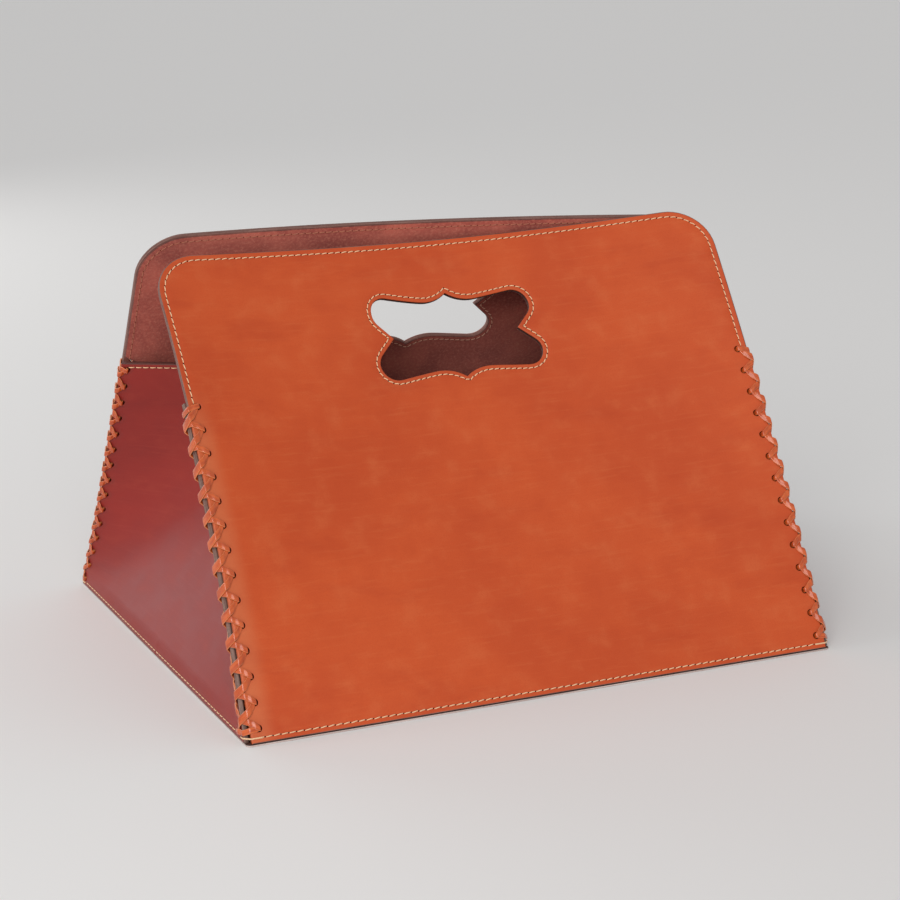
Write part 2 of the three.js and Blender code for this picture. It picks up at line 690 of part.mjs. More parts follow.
function gussetThread(gusset, t, endInset) {
  const ends = [FRONT, BACK].map((panel) => insetV(gusset, panel.facing, t, endInset));
  const half = GUSSET_COLUMN_SHARES.slice(0, -1);
  const inner = half.slice(1).reverse().map((v) => -v).concat(half);
  const vs = [ends[0], ...inner.filter((v) => v > ends[0] && v < ends[1]), ends[1]];
  const stops = vs.map((v) => ({ point: gussetPoint(gusset, v, t, LEATHER), out: gussetOut(gusset, v, t) }));
  return threadBar(stops, false);
}

// Panels, with their linings, threads and the base's upturned edges behind their feet
for (const panel of [FRONT, BACK]) {
  const outer = panelSheet(panel, 0, LEATHER, 0);
  add(`${panel.name}_panel_leather`, cut(outer, [cutOutTool(panel), ...panelHoleTools(panel)]), panelLeather);
  const lining = panelSheet(panel, LEATHER + FIT, LINING, LINING_MARGIN);
  add(`${panel.name}_panel_lining`, cut(lining, [cutOutTool(panel)]), suede);
  add(`${panel.name}_panel_edge_thread`, edgeThread(panel), thread);
  add(`${panel.name}_cut_out_thread`, cutOutThread(panel), thread);
  add(`${panel.name}_foot_thread`, footThread(panel), thread);

  const flangeRows = panelRows(panel, 0).slice(0, 2);
  const flangeColumns = flangeRows.map((row) => panelColumns(row, 0).slice(1, -1));
  const flange = closedSheet(flangeRows.length, flangeColumns[0].length, (row, column, face) => {
    const x = flangeColumns[row][column];
    const depth = WALL + FIT + (face ? FLANGE_THICKNESS : 0);
    const point = panelPoint(panel, x, Math.max(flangeRows[row].s, footSlant(panel, x, depth)), depth);
    if (row === 0) point.z = FOOT_Z;
    return point;
  });
  add(`${panel.name}_base_flange`, flange, soleLeather);
}

// Gussets, with their linings and threads
for (const gusset of [LEFT, RIGHT]) {
  const outer = gussetSheet(gusset, LEATHER, LEATHER, 1, 0);
  add(`${gusset.name}_gusset_leather`, cut(outer, gussetHoleTools(gusset)), gussetLeather);
  const lining = gussetSheet(gusset, -GUSSET_LINING_FIT, LINING, LINING_REACH_SHARE, LINING_MARGIN);
  add(`${gusset.name}_gusset_lining`, lining, suede);
  const topShare = 1 - GUSSET_TOP_THREAD_DROP / GUSSET_HEIGHT;
  add(`${gusset.name}_gusset_top_thread`, gussetThread(gusset, topShare, GUSSET_THREAD_MARGIN), thread);
  const footShare = GUSSET_FOOT_THREAD_HEIGHT / GUSSET_HEIGHT;
  add(`${gusset.name}_gusset_foot_thread`, gussetThread(gusset, footShare, GUSSET_THREAD_MARGIN), thread);
}

// Laces, one at each corner
for (const panel of [FRONT, BACK]) for (const gusset of [LEFT, RIGHT]) addLace(panel, gusset);

// Base. The panels and their flanges lean in over it, so each layer stops short of them.
function leanReach(panel, depth, z) {
  const leans = Object.values(panel.foot).map((extra) => MEAN_LEAN + THREE.MathUtils.degToRad(extra));
  const steepest = Math.max(...leans);
  return (depth + (z - FOOT_Z) * Math.sin(steepest)) / Math.cos(steepest);
}

function notchedPlan(halfX, frontY, backY) {
  const half = [
    new THREE.Vector2(halfX - BASE_NOTCH, frontY),
    new THREE.Vector2(halfX, frontY + BASE_NOTCH),
    new THREE.Vector2(halfX, backY - BASE_NOTCH),
    new THREE.Vector2(halfX - BASE_NOTCH, backY),
  ];
  return new THREE.Shape(half.concat(half.map(({ x, y }) => new THREE.Vector2(-x, y)).reverse()));
}

function baseBox(name, bottom, thickness, halfX, material) {
  const depth = WALL + FIT + FLANGE_THICKNESS;
  const frontY = -HALF_DEPTH + leanReach(FRONT, depth, bottom + thickness) + BASE_CLEARANCE;
  const backY = HALF_DEPTH - leanReach(BACK, depth, bottom + thickness) - BASE_CLEARANCE;
  const plan = new THREE.ExtrudeGeometry(notchedPlan(halfX, frontY, backY), {
    depth: thickness,
    bevelEnabled: false,
  });
  add(name, plan.translate(0, 0, bottom), material);
}

const soleHalfX = HALF_WIDTH + CORNER_GAP + LEATHER - SOLE_SETBACK;
const sole = new THREE.BoxGeometry(soleHalfX * 2, BASE_DEPTH - SOLE_SETBACK * 2, SOLE_THICKNESS);
add("base_sole", sole.translate(0, 0, SOLE_THICKNESS / 2), soleLeather);

const trayHalfX = HALF_WIDTH + CORNER_GAP - FIT - LINING - BASE_CLEARANCE;
const trayShape = new THREE.Shape([
  new THREE.Vector2(-trayHalfX, FOOT_Z),
  new THREE.Vector2(trayHalfX, FOOT_Z),
  new THREE.Vector2(trayHalfX, FOOT_Z + TRAY_RIM_HEIGHT),
  new THREE.Vector2(trayHalfX - TRAY_THICKNESS, FOOT_Z + TRAY_RIM_HEIGHT),
  new THREE.Vector2(trayHalfX - TRAY_THICKNESS, FOOT_Z + TRAY_THICKNESS),
  new THREE.Vector2(-trayHalfX + TRAY_THICKNESS, FOOT_Z + TRAY_THICKNESS),
  new THREE.Vector2(-trayHalfX + TRAY_THICKNESS, FOOT_Z + TRAY_RIM_HEIGHT),
  new THREE.Vector2(-trayHalfX, FOOT_Z + TRAY_RIM_HEIGHT),
]);
const trayDepth = WALL + FIT + FLANGE_THICKNESS;
const trayTop = FOOT_Z + TRAY_RIM_HEIGHT;
const trayFront = -HALF_DEPTH + leanReach(FRONT, trayDepth, trayTop) + BASE_CLEARANCE;
const trayBack = HALF_DEPTH - leanReach(BACK, trayDepth, trayTop) - BASE_CLEARANCE;
const tray = new THREE.ExtrudeGeometry(trayShape, { depth: trayBack - trayFront, bevelEnabled: false });
tray.rotateX(Math.PI / 2).translate(0, trayBack, 0);
const trayPlan = new THREE.ExtrudeGeometry(notchedPlan(trayHalfX + FIT, trayFront - FIT, trayBack + FIT), {
  depth: CUT_LENGTH,
  bevelEnabled: false,
});
add("base_tray", toGeometry(toSolid(tray).intersect(toSolid(trayPlan))), soleLeather);

const boardZ = FOOT_Z + TRAY_THICKNESS + FIT;
const boardHalfX = trayHalfX - TRAY_THICKNESS - BASE_CLEARANCE;
baseBox("base_board", boardZ, BOARD_THICKNESS, boardHalfX, board);
baseBox("base_liner", boardZ + BOARD_THICKNESS + FIT, BASE_LINER_THICKNESS, boardHalfX, suede);

export default group;
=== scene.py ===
"""Leather magazine basket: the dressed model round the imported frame. Sizes are worked in millimetres."""
import math
import random

import bpy
import numpy as np
from mathutils import Matrix, Vector
from mathutils.geometry import delaunay_2d_cdt


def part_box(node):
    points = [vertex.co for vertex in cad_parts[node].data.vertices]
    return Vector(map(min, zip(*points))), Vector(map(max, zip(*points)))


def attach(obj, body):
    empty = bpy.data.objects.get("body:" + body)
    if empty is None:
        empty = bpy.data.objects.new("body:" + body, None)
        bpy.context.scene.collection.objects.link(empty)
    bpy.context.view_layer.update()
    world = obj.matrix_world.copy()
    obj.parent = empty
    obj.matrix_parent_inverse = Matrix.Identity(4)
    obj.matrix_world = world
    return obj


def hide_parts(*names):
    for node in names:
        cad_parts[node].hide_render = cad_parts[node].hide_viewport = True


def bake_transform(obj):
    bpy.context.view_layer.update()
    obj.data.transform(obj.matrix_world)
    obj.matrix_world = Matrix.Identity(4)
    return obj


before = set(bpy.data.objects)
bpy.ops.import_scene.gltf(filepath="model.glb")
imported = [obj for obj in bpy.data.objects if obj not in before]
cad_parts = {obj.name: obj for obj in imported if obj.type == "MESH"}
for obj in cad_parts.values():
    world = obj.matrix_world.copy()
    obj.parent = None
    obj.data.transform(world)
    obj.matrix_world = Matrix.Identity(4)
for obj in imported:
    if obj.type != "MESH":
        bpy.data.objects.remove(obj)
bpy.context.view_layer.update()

random.seed(7)

MM = 0.001

# ---------------- sizes: the part's, a few of them adjusted
HALF_WIDTH = 208.5
HALF_DEPTH = 184.85
PANEL_HEIGHT = 332.0
TOP_NARROWING = 1.4
TOP_CORNER_RADIUS = 31.0
LEATHER = 3.2
LINING = 0.6
FIT = 0.3
WALL = LEATHER + FIT + LINING
SOLE = 1.6
SOLE_SETBACK = 0.4
SOLE_CORNER = 3.0
BASE_NOTCH = 18.0
FOOT_Z = SOLE + FIT
MEAN_LEAN = math.asin((HALF_DEPTH - WALL) / PANEL_HEIGHT)
LEVEL_FOOT = 12.0  # height over which a panel's foot goes from level to square
GUSSET_HEIGHT = 226.5
GUSSET_SHEET = 224.0
GUSSET_HALF = 110.0  # half the gusset's width on its own sheet, from fold to laced edge
CORNER_GAP = 0.5
FOLD_DEPTH = 80.0
FOLD_START = 8.0
LINING_MARGIN = 0.8
LACED_MARGIN = 14.0
GUSSET_LINING_MARGIN = 2.5
GUSSET_LINING_FIT = 0.5
GUSSET_LINING_REACH = 0.85

# foot and top: lean past the mean in degrees, at the left, in the middle and at the right; gusset: height of
# the laced edge; holes, drops and insets: of the first and the last row of lacing, the height of the panel's
# hole, how far the gusset's hole lies below it, and how far the panel's hole lies from its edge
FRONT = {
    "name": "front", "facing": -1, "foot": (-10.8, 2.7, -5.6), "top": (11.5, 2.9, 3.6),
    "gusset": 224.0, "steps": 13, "holes": (219.6, 9.2), "drops": (5, 2.2), "insets": (7.0, 5.6),
    "gusset_inset": 7.8, "tail": 5.0,
}
BACK = {
    "name": "back", "facing": 1, "foot": (-0.8, 7.1, 9.8), "top": (-4.1, -11, -7.7),
    "gusset": 227.0, "steps": 14, "holes": (226.0, 10.5), "drops": (5.0, 2), "insets": (7.5, 7.0),
    "gusset_inset": 4.6, "tail": 0.0,
}
LEFT = {"name": "left", "side": -1}
RIGHT = {"name": "right", "side": 1}

# the hand cut-out, round its centre
CUT_OUT_S = PANEL_HEIGHT - 71.3
CUSP_HEIGHT = 31.6
SHOULDER = (18, 25.7)
LOBE = (50.5, 18.8)
LOBE_RADIUS = 11.5
LOBE_START, LOBE_END = math.radians(100), math.radians(-44)
WAIST = 48.2
CUT_OUT_ZONE = (80, 50)

# the lace lies closer to the leather here than in the part
LACE_WIDTH = 3.7
LACE_THICKNESS = 0.8
LACE_FIT = 0.06
LACE_SPACING = 0.92
LACE_LIFT = LACE_FIT + LACE_THICKNESS / 2
LACE_PINCHED = 1.7
HOLE_RADIUS = 2.35
HOLE_RIM = 0.6

# how far the sheets' edges are rounded over
ROUNDING = {
    "panel": 0.75, "cut_out": 0.7, "panel_hole": 0.45, "gusset": 0.6, "gusset_hole": 0.4,
    "lining": 0.3, "sole": 0.45,
}
NO_EDGE = 100.0  # a distance that counts as far from any cut edge
SEAM_REACH = 6.0  # from the fold, where two halves of a gusset meet

# stitches: distance of a row from the edge it follows, and its pitch
EDGE_STITCH, EDGE_PITCH = 4.3, 4.9
CUT_STITCH, CUT_PITCH = 3.0, 4.2
FOOT_STITCH, FOOT_PITCH = 3.5, 5.2
GUSSET_TOP_STITCH, GUSSET_FOOT_STITCH, GUSSET_FOOT_PITCH = 3.2, 3.4, 6.0
FOOT_ROW_END, TOP_ROW_END = 9, 5  # from a row's end to the side edge
GUIDE_STEP, GUIDE_GAP = 2.0, 1.1  # points of the mesh along a row of stitches and on both sides of it
SIDES = 8
ROUND = [2 * math.pi * j / SIDES for j in range(SIDES)]

# ---------------- camera, floor and light
CAMERA_LENS = 95.144
CAMERA_SHIFT = (-0.01243, -0.01036)
CAMERA_TURN = (-24.5001, 14.3485, -0.3669)  # azimuth, elevation and roll in degrees
CAMERA_PLACE = (-659.77, -1487.92, 543.61 + FOOT_Z)

FLOOR_COLOUR = (0.84, 0.83, 0.815, 1)
FLOOR_NEAR, FLOOR_FAR, FLOOR_HALF_WIDTH = -5.0, 26.0, 12.0  # metres
WORLD_COLOUR = (0.96, 0.97, 1.0, 1)
WORLD_STRENGTH = 0.42
SUN_COLOUR = (1, 0.985, 0.96)
SUN_STRENGTH = 1.59
SUN_FROM = (-0.42, -0.75, 0.5)
SUN_ANGLE = 45
# name, place, target, size in metres, power
AREA_LIGHTS = (
    ("side", (-1.9, 0.5, 1.1), (-0.2, 0, 0.12), (0.8, 1.2), 5.2),
    ("behind", (-0.9, 1.9, 0.7), (-0.2, 0, 0.1), (1.6, 1.0), 7.5),
    ("near", (-0.9, -1.0, 0.6), (-0.15, 0, 0.15), (0.5, 0.5), 2.5),
)


# ---------------- the sheets' forms
def unit(a):
    return a / np.linalg.norm(a, axis=-1, keepdims=True)


def arrays(*values):
    return np.broadcast_arrays(*(np.asarray(value, float) for value in values))


def across(triple, share):
    left, middle, right = triple
    return left * share * (share - 1) / 2 + middle * (1 - share * share) + right * share * (share + 1) / 2


def half_width(s):
    return HALF_WIDTH - TOP_NARROWING * s / PANEL_HEIGHT


def foot_lean(panel, share):
    return MEAN_LEAN + np.radians(across(panel["foot"], share))


def panel_lean(panel, x, s):
    """The lean at the foot, the bend per millimetre up the panel, and the lean at s."""
    share = x / half_width(s)
    foot = foot_lean(panel, share)
    top = MEAN_LEAN + np.radians(across(panel["top"], share))
    bend = (top - foot) / PANEL_HEIGHT
    bend = np.where(np.abs(bend) < 1e-8, 1e-8, bend)
    return foot, bend, foot + bend * s


def panel_in(panel, x, s):
    """Unit vector into the basket."""
    lean = panel_lean(panel, x, s)[2]
    return np.stack([np.zeros_like(lean), -panel["facing"] * np.cos(lean), -np.sin(lean)], -1)


def panel_up(panel, x, s):
    lean = panel_lean(panel, x, s)[2]
    return np.stack([np.zeros_like(lean), -panel["facing"] * np.sin(lean), np.cos(lean)], -1)


def panel_point(panel, x, s, depth):
    x, s, depth = arrays(x, s, depth)
    foot, bend, lean = panel_lean(panel, x, s)
    inward = (np.cos(foot) - np.cos(lean)) / bend
    rise = (np.sin(lean) - np.sin(foot)) / bend
    face = np.stack([x, panel["facing"] * (HALF_DEPTH - inward), FOOT_Z + rise], -1)
    return face + panel_in(panel, x, s) * depth[..., None]


def foot_slant(panel, x, depth):
    return depth * np.tan(foot_lean(panel, x / HALF_WIDTH))


def panel_level(panel, x, s, depth):
    """Like panel_point, but the foot stays level through the whole thickness."""
    x, s, depth = arrays(x, s, depth)
    share = np.clip(1 - s / LEVEL_FOOT, 0, 1)
    return panel_point(panel, x, s + foot_slant(panel, x, depth) * share, depth)


def corner_slant(panel, side, t):
    foot = foot_slant(panel, side * HALF_WIDTH, LEATHER + CORNER_GAP)
    return foot + (panel["gusset"] - foot) * t


def corner_point(panel, side, t):
    s = corner_slant(panel, side, t)
    return panel_point(panel, side * (half_width(s) + CORNER_GAP), s, LEATHER + CORNER_GAP)


def fold_depth(t):
    rise = (t * GUSSET_HEIGHT - FOLD_START) / (GUSSET_HEIGHT - FOLD_START)
    return np.where(rise > 0, FOLD_DEPTH * np.sin(math.pi / 2 * np.maximum(rise, 0)), 0)


def fold_crease(t):
    """How sharp the fold is, from a crease at the top to a wide bend at the foot."""
    return 1.5 + 4.5 * np.maximum(1 - t, 0) ** 2.2


def gusset_face(gusset, v, t):
    """A place on the gusset: v runs from the front edge, -1, to the back one, 1, and t from foot to top."""
    v, t = arrays(v, t)
    front = corner_point(FRONT, gusset["side"], t)
    back = corner_point(BACK, gusset["side"], t)
    point = front + (back - front) * ((v + 1) / 2)[..., None]
    point[..., 0] -= gusset["side"] * fold_depth(t) * (1 - np.abs(v) ** fold_crease(t))
    return point


PROBE = 0.004


def gusset_along(gusset, v, t):
    return unit(gusset_face(gusset, v, t + PROBE) - gusset_face(gusset, v, t - PROBE))


def gusset_out(gusset, v, t):
    backward = gusset_face(gusset, v + PROBE, t) - gusset_face(gusset, v - PROBE, t)
    out = unit(np.cross(backward, gusset_along(gusset, v, t)))
    return out * (np.sign(out[..., :1]) * gusset["side"])


def gusset_point(gusset, v, t, out):
    return gusset_face(gusset, v, t) + gusset_out(gusset, v, t) * np.asarray(out, float)[..., None]


def gusset_scale(gusset, t):
    """Length of the sheet per unit of v beside the laced edge."""
    chord = corner_point(BACK, gusset["side"], t) - corner_point(FRONT, gusset["side"], t)
    chord = np.linalg.norm(chord, axis=-1)
    slope = fold_crease(t) * fold_depth(t) / (chord / 2)
    return chord / 2 * np.hypot(1, slope)


def gusset_share(panel, side, s):
    foot = corner_slant(panel, side, 0.0)
    return (s - foot) / (panel["gusset"] - foot)


def lacing(panel, key, i):
    """The value in row i of those that a panel gives for its first and last row of lacing."""
    first, last = panel[key]
    return first + (last - first) * i / panel["steps"]


def gusset_hole_s(panel, i):
    return lacing(panel, "holes", i) - lacing(panel, "drops", i)


# ---------------- the studio
def link(name, data):
    """An object for the data, in the scene."""
    obj = bpy.data.objects.new(name, data)
    bpy.context.scene.collection.objects.link(obj)
    return obj


def aim(obj, direction, axis):
    obj.rotation_mode = "QUATERNION"
    obj.rotation_quaternion = Vector(direction).to_track_quat(axis, "Y")


def make_camera():
    data = bpy.data.cameras.new("camera")
    data.lens = CAMERA_LENS
    data.sensor_width = 36
    data.shift_x, data.shift_y = CAMERA_SHIFT
    data.clip_start, data.clip_end = 0.05, 30
    camera = link("camera", data)
    azimuth, elevation, roll = (math.radians(a) for a in CAMERA_TURN)
    flat = math.cos(elevation)
    aim(camera, (-math.sin(azimuth) * flat, math.cos(azimuth) * flat, -math.sin(elevation)), "-Z")
    camera.rotation_quaternion = camera.rotation_quaternion @ Matrix.Rotation(roll, 4, "Z").to_quaternion()
    camera.location = Vector(CAMERA_PLACE) * MM
    bpy.context.scene.camera = camera


def make_floor():
    """A pale floor that reaches past the top of the frame."""
    half = FLOOR_HALF_WIDTH
    verts = [(-half, FLOOR_NEAR, 0), (half, FLOOR_NEAR, 0), (half, FLOOR_FAR, 0), (-half, FLOOR_FAR, 0)]
    mesh = bpy.data.meshes.new("floor")
    mesh.from_pydata(verts, [], [(0, 1, 2, 3)])
    mesh.materials.append(Nodes("floor").finish(Base_Color=FLOOR_COLOUR, Roughness=0.9, Specular_IOR_Level=0.1))
    floor = link("floor", mesh)


def make_light():
    world = bpy.data.worlds.new("studio")
    world.use_nodes = True
    background = world.node_tree.nodes["Background"]
    background.inputs["Color"].default_value = WORLD_COLOUR
    background.inputs["Strength"].default_value = WORLD_STRENGTH
    bpy.context.scene.world = world
    data = bpy.data.lights.new("key", "SUN")
    data.energy = SUN_STRENGTH
    data.angle = math.radians(SUN_ANGLE)
    data.color = SUN_COLOUR
    aim(link("key", data), SUN_FROM, "Z")
    for name, place, target, size, power in AREA_LIGHTS:
        data = bpy.data.lights.new(name, "AREA")
        data.shape = "RECTANGLE"
        data.size, data.size_y = size
        data.energy = power
        light = link(name, data)
        light.location = place
        aim(light, Vector(target) - Vector(place), "-Z")
        light.visible_camera = False
    bpy.context.scene.view_settings.view_transform = "Standard"


# ---------------- materials
def srgb(colour):
    """A colour written from 0 to 255, as the linear one that a socket takes."""
    def linear(c):
        c /= 255
        return c / 12.92 if c <= 0.04045 else ((c + 0.055) / 1.055) ** 2.4
    return (*map(linear, colour), 1)


class Nodes:
    """Short names for the nodes a material is wired from."""

    def __init__(self, name):
        self.material = bpy.data.materials.new(name)
        self.material.use_nodes = True
        tree = self.material.node_tree
        self.nodes, self.links, self.bsdf = tree.nodes, tree.links, tree.nodes["Principled BSDF"]

    def feed(self, node, inputs):
        for key, value in inputs.items():
            if isinstance(value, bpy.types.NodeSocket):
                self.links.new(value, node.inputs[key])
            else:
                node.inputs[key].default_value = value

    def add(self, kind, output, inputs, **settings):
        """A new node with its inputs fed; gives one of its outputs."""
        node = self.nodes.new("ShaderNode" + kind)
        for key, value in settings.items():
            setattr(node, key, value)
        self.feed(node, inputs)
        return node.outputs[output]

    def value(self, name, output="Fac"):
        return self.add("Attribute", output, {}, attribute_name=name)

    def sheet(self, scale=(1, 1, 1)):
        """The place on the sheet, in millimetres, whatever pose it is in."""
        return self.add("Mapping", "Vector", {"Vector": self.value("sheet", "Vector"), "Scale": scale})

    def noise(self, vector, scale, detail, rough, distort=0.0):
        return self.add("TexNoise", "Fac", {
            "Vector": vector, "Scale": scale, "Detail": detail, "Roughness": rough, "Distortion": distort,
        })

    def voronoi(self, vector, scale, feature="F1"):
        return self.add("TexVoronoi", "Distance", {"Vector": vector, "Scale": scale}, feature=feature)

    def ramp(self, fac, low, high, a=0.0, b=1.0):
        return self.add("MapRange", "Result", {
            "Value": fac, "From Min": low, "From Max": high, "To Min": a, "To Max": b,
        }, interpolation_type="SMOOTHSTEP")

    def mix(self, fac, a, b):
        return self.add("Mix", 2, {0: fac, 6: a, 7: b}, data_type="RGBA")

    def tint(self, base, *layers):
        """Lays tones over a colour. layers: (tone, mask, low, high, share below low, share above high)"""
        for tone, mask, *spread in layers:
            base = self.mix(self.ramp(mask, *spread), base, tone)
        return base

    def bump(self, *layers):
        """layers: (height socket, strength, distance in mm)"""
        normal = {}
        for height, strength, distance in layers:
            inputs = {"Strength": strength, "Distance": distance * MM, "Height": height, **normal}
            normal = {"Normal": self.add("Bump", "Normal", inputs)}
        self.feed(self.bsdf, normal)

    def finish(self, **values):
        self.feed(self.bsdf, {key.replace("_", " "): value for key, value in values.items()})
        return self.material


def saddle_leather(name, *colours, coat=0.06, painted_highlight_band=None):
    """Waxed, smooth cowhide: a fine pore grain, faint clouds of colour, light scuffs, a burnished edge."""
    n = Nodes(name)
    colour, deep, pale, edge = map(srgb, colours)
    place = n.sheet()
    clouds = n.noise(place, 0.009, 3, 0.5)
    mottle = n.noise(place, 0.05, 4, 0.55)
    fine = n.noise(place, 0.9, 4, 0.65)
    marks = n.noise(n.sheet((0.012, 0.11, 0.05)), 1.0, 4, 0.6, 0.6)
    blotch = n.noise(n.sheet((0.011, 0.03, 0.03)), 1.0, 5, 0.6, 0.3)
    streaks = n.noise(n.sheet((0.03, 0.3, 0.1)), 1.0, 4, 0.65)
    base = n.tint(
        colour,
        (deep, clouds, 0.34, 0.62, 0.5, 0),
        (deep, blotch, 0.5, 0.72, 0, 0.5),
        (pale, mottle, 0.48, 0.78, 0, 0.3),
        (deep, mottle, 0.5, 0.3, 0, 0.2),
        (pale, streaks, 0.5, 0.75, 0, 0.2),
        (deep, fine, 0.45, 0.7, 0, 0.24),
        (pale, marks, 0.62, 0.78, 0, 0.14),
    )
    # a painted highlight: a paler band laid into the base colour where light falls beside the front lacing
    if painted_highlight_band:
        start, end, low, high, amount, tone = painted_highlight_band
        x, y = (n.add("SeparateXYZ", axis, {"Vector": place}) for axis in "XY")
        shares = {0: n.ramp(x, start, end, amount, 0), 1: n.ramp(y, low, high, 1, 0)}
        base = n.mix(n.add("Math", 0, shares, operation="MULTIPLY"), base, srgb(tone))
    base = n.tint(base, (edge, n.value("edge_mm"), 0.2, 3.0, 0.35, 0))
    n.bump(
        (n.ramp(mottle, 0.2, 0.8), 0.10, 0.5),
        (n.ramp(n.voronoi(place, 0.55, "DISTANCE_TO_EDGE"), 0.0, 0.22), 0.08, 0.12),
        (n.voronoi(place, 1.25), 0.12, 0.12),
        (fine, 0.10, 0.12),
    )
    return n.finish(
        Base_Color=base, Roughness=n.ramp(mottle, 0.3, 0.75, 0.46, 0.56), Coat_Weight=coat,
        Coat_Roughness=0.32, Specular_IOR_Level=0.28,
    )


def cut_edge(name, *colours):
    """The sheet's cut edge, dyed and rubbed, with its layers showing; the cut-out's walls and the sole's edge are
    given tones of painted light and shade.
    """
    n = Nodes(name)
    colour, deep = map(srgb, colours)
    layers = n.noise(n.sheet((0.03, 0.03, 2.2)), 1.0, 4, 0.6)
    speck = n.noise(n.sheet(), 0.7, 4, 0.6)
    base = n.tint(deep, (colour, layers, 0.3, 0.7), (deep, speck, 0.45, 0.7, 0, 0.5))
    n.bump((layers, 0.35, 0.25), (speck, 0.25, 0.2))
    return n.finish(Base_Color=base, Roughness=0.62, Specular_IOR_Level=0.4)


def suede(name, *colours):
    n = Nodes(name)
    colour, deep, pale = map(srgb, colours)
    place = n.sheet()
    blotch = n.noise(place, 0.022, 5, 0.62, 0.4)
    nap = n.noise(place, 0.5, 5, 0.7)
    fibre = n.noise(n.sheet((1.6, 0.7, 1)), 1.6, 3, 0.7)
    base = n.tint(
        deep, (colour, blotch, 0.35, 0.68), (pale, nap, 0.42, 0.72, 0, 0.55), (deep, fibre, 0.5, 0.75, 0, 0.25))
    n.bump((nap, 0.5, 0.35), (fibre, 0.5, 0.2))
    return n.finish(
        Base_Color=base, Roughness=0.95, Specular_IOR_Level=0.2, Sheen_Weight=0.25, Sheen_Roughness=0.6)


def lace_leather(name, *colours):
    n = Nodes(name)
    colour, deep, pale = map(srgb, colours)
    run = n.noise(n.sheet((0.12, 0.35, 1)), 1.0, 3, 0.5)
    speck = n.noise(n.sheet(), 1.1, 4, 0.65)
    # the strap's edges are painted paler: a painted highlight along each edge
    base = n.tint(
        deep, (colour, run, 0.32, 0.68), (pale, speck, 0.5, 0.75, 0, 0.18),
        (pale, n.value("edge_mm"), 0.0, 0.3, 0.7, 0))
    n.bump((run, 0.12, 0.2), (speck, 0.12, 0.1))
    return n.finish(
        Base_Color=base, Roughness=0.42, Coat_Weight=0.7, Coat_Roughness=0.14, Specular_IOR_Level=0.35)


def thread(name, *colours):
    n = Nodes(name)
    colour, deep = map(srgb, colours)
    place = n.sheet()
    wave = {"Vector": place, "Scale": 1.1, "Distortion": 1.0}
    twist = n.add("TexWave", "Fac", wave, bands_direction="DIAGONAL")
    fuzz = n.noise(place, 1.6, 3, 0.6)
    n.bump((twist, 0.5, 0.18), (fuzz, 0.3, 0.1))
    base = n.tint(colour, (deep, fuzz, 0.35, 0.7, 0, 0.6))
    return n.finish(Base_Color=base, Roughness=0.62, Sheen_Weight=0.2)


# a plain dark finish; here it paints the shade in needle holes and lacing holes
def plain_dark(name, *colours):
    n = Nodes(name)
    colour, deep = map(srgb, colours)
    base = n.tint(colour, (deep, n.noise(n.sheet(), 0.8, 4, 0.6), 0.4, 0.7, 0, 0.4))
    return n.finish(Base_Color=base, Roughness=0.9, Specular_IOR_Level=0.2)


def fibre_board(name, *colours):
    n = Nodes(name)
    colour, pale = map(srgb, colours)
    fibre = n.noise(n.sheet((0.4, 1.5, 1)), 1.0, 5, 0.7)
    n.bump((fibre, 0.3, 0.2))
    return n.finish(Base_Color=n.tint(colour, (pale, fibre, 0.3, 0.7)), Roughness=0.95)


MATS = {
    # the band is a painted highlight, paler leather where light falls beside the front lacing at the left: its x
    # from and to, its height from and to, how much of it shows, and its colour
    "panel": saddle_leather(
        "panel_hide", (197, 81, 36), (178, 64, 27), (207, 107, 60), (184, 80, 44),
        painted_highlight_band=(-203, -189, 195, 240, 0.36, (210, 128, 86))),
    "gusset": saddle_leather(
        "gusset_hide", (150, 40, 31), (126, 30, 25), (170, 66, 50), (122, 48, 42), coat=0.16),
    "sole": saddle_leather("sole_hide", (92, 58, 48), (66, 40, 34), (120, 86, 76), (90, 62, 54)),
    "flesh": suede("flesh_side", (140, 66, 48), (104, 44, 34), (170, 98, 76)),
    "suede": suede("suede", (184, 88, 70), (146, 58, 46), (204, 122, 98)),
    "suede_edge": suede("suede_edge", (120, 62, 50), (84, 40, 34), (150, 92, 80)),
    # the hand cut-out's walls carry painted light: the front panel's are painted dark as shade, the back panel's
    # painted pale as where light falls on them
    "front_cut_out_edge_painted_light": cut_edge("front_cut_out_edge_painted_light", (84, 50, 42), (52, 28, 22)),
    "back_cut_out_edge_painted_light": cut_edge("back_cut_out_edge_painted_light", (166, 120, 108), (126, 84, 74)),
    "gusset_rim": cut_edge("gusset_rim", (104, 62, 54), (70, 38, 34)),
    "panel_edge": cut_edge("panel_cut_edge", (140, 104, 94), (96, 60, 52)),
    "gusset_edge": cut_edge("gusset_cut_edge", (138, 110, 98), (92, 62, 54)),
    # the sole's cut edge in two halves: the lower half pale, a rubbed edge with a painted highlight; the upper
    # half painted dark as the shadow under the panels' feet
    "sole_edge": cut_edge("sole_cut_edge", (214, 196, 190), (172, 152, 146)),
    "sole_edge_top_painted_shadow": cut_edge("sole_cut_edge_top_painted_shadow", (70, 48, 42), (46, 32, 28)),
    "lace": lace_leather("lace_hide", (204, 92, 38), (178, 70, 26), (224, 148, 98)),
    "thread": thread("thread", (246, 206, 162), (226, 170, 122)),
    "thread_inside": thread("thread_inside", (188, 114, 84), (164, 90, 64)),
    "thread_cut_out_inside": thread("thread_cut_out_inside", (232, 178, 150), (206, 146, 118)),
    # needle holes are small dark discs: painted shade where the thread enters, outside and on the suede inside
    "hole": plain_dark("needle_hole_painted_shade", (52, 22, 16), (20, 10, 8)),
    "hole_inside": plain_dark("needle_hole_inside", (118, 54, 40), (84, 34, 26)),
    # lacing-hole walls painted dark as the shade inside the holes
    "hole_wall_painted_shade": plain_dark("hole_wall_painted_shade", (104, 38, 22), (64, 22, 12)),
    "board": fibre_board("fibre_board", (112, 95, 76), (150, 132, 108)),
}


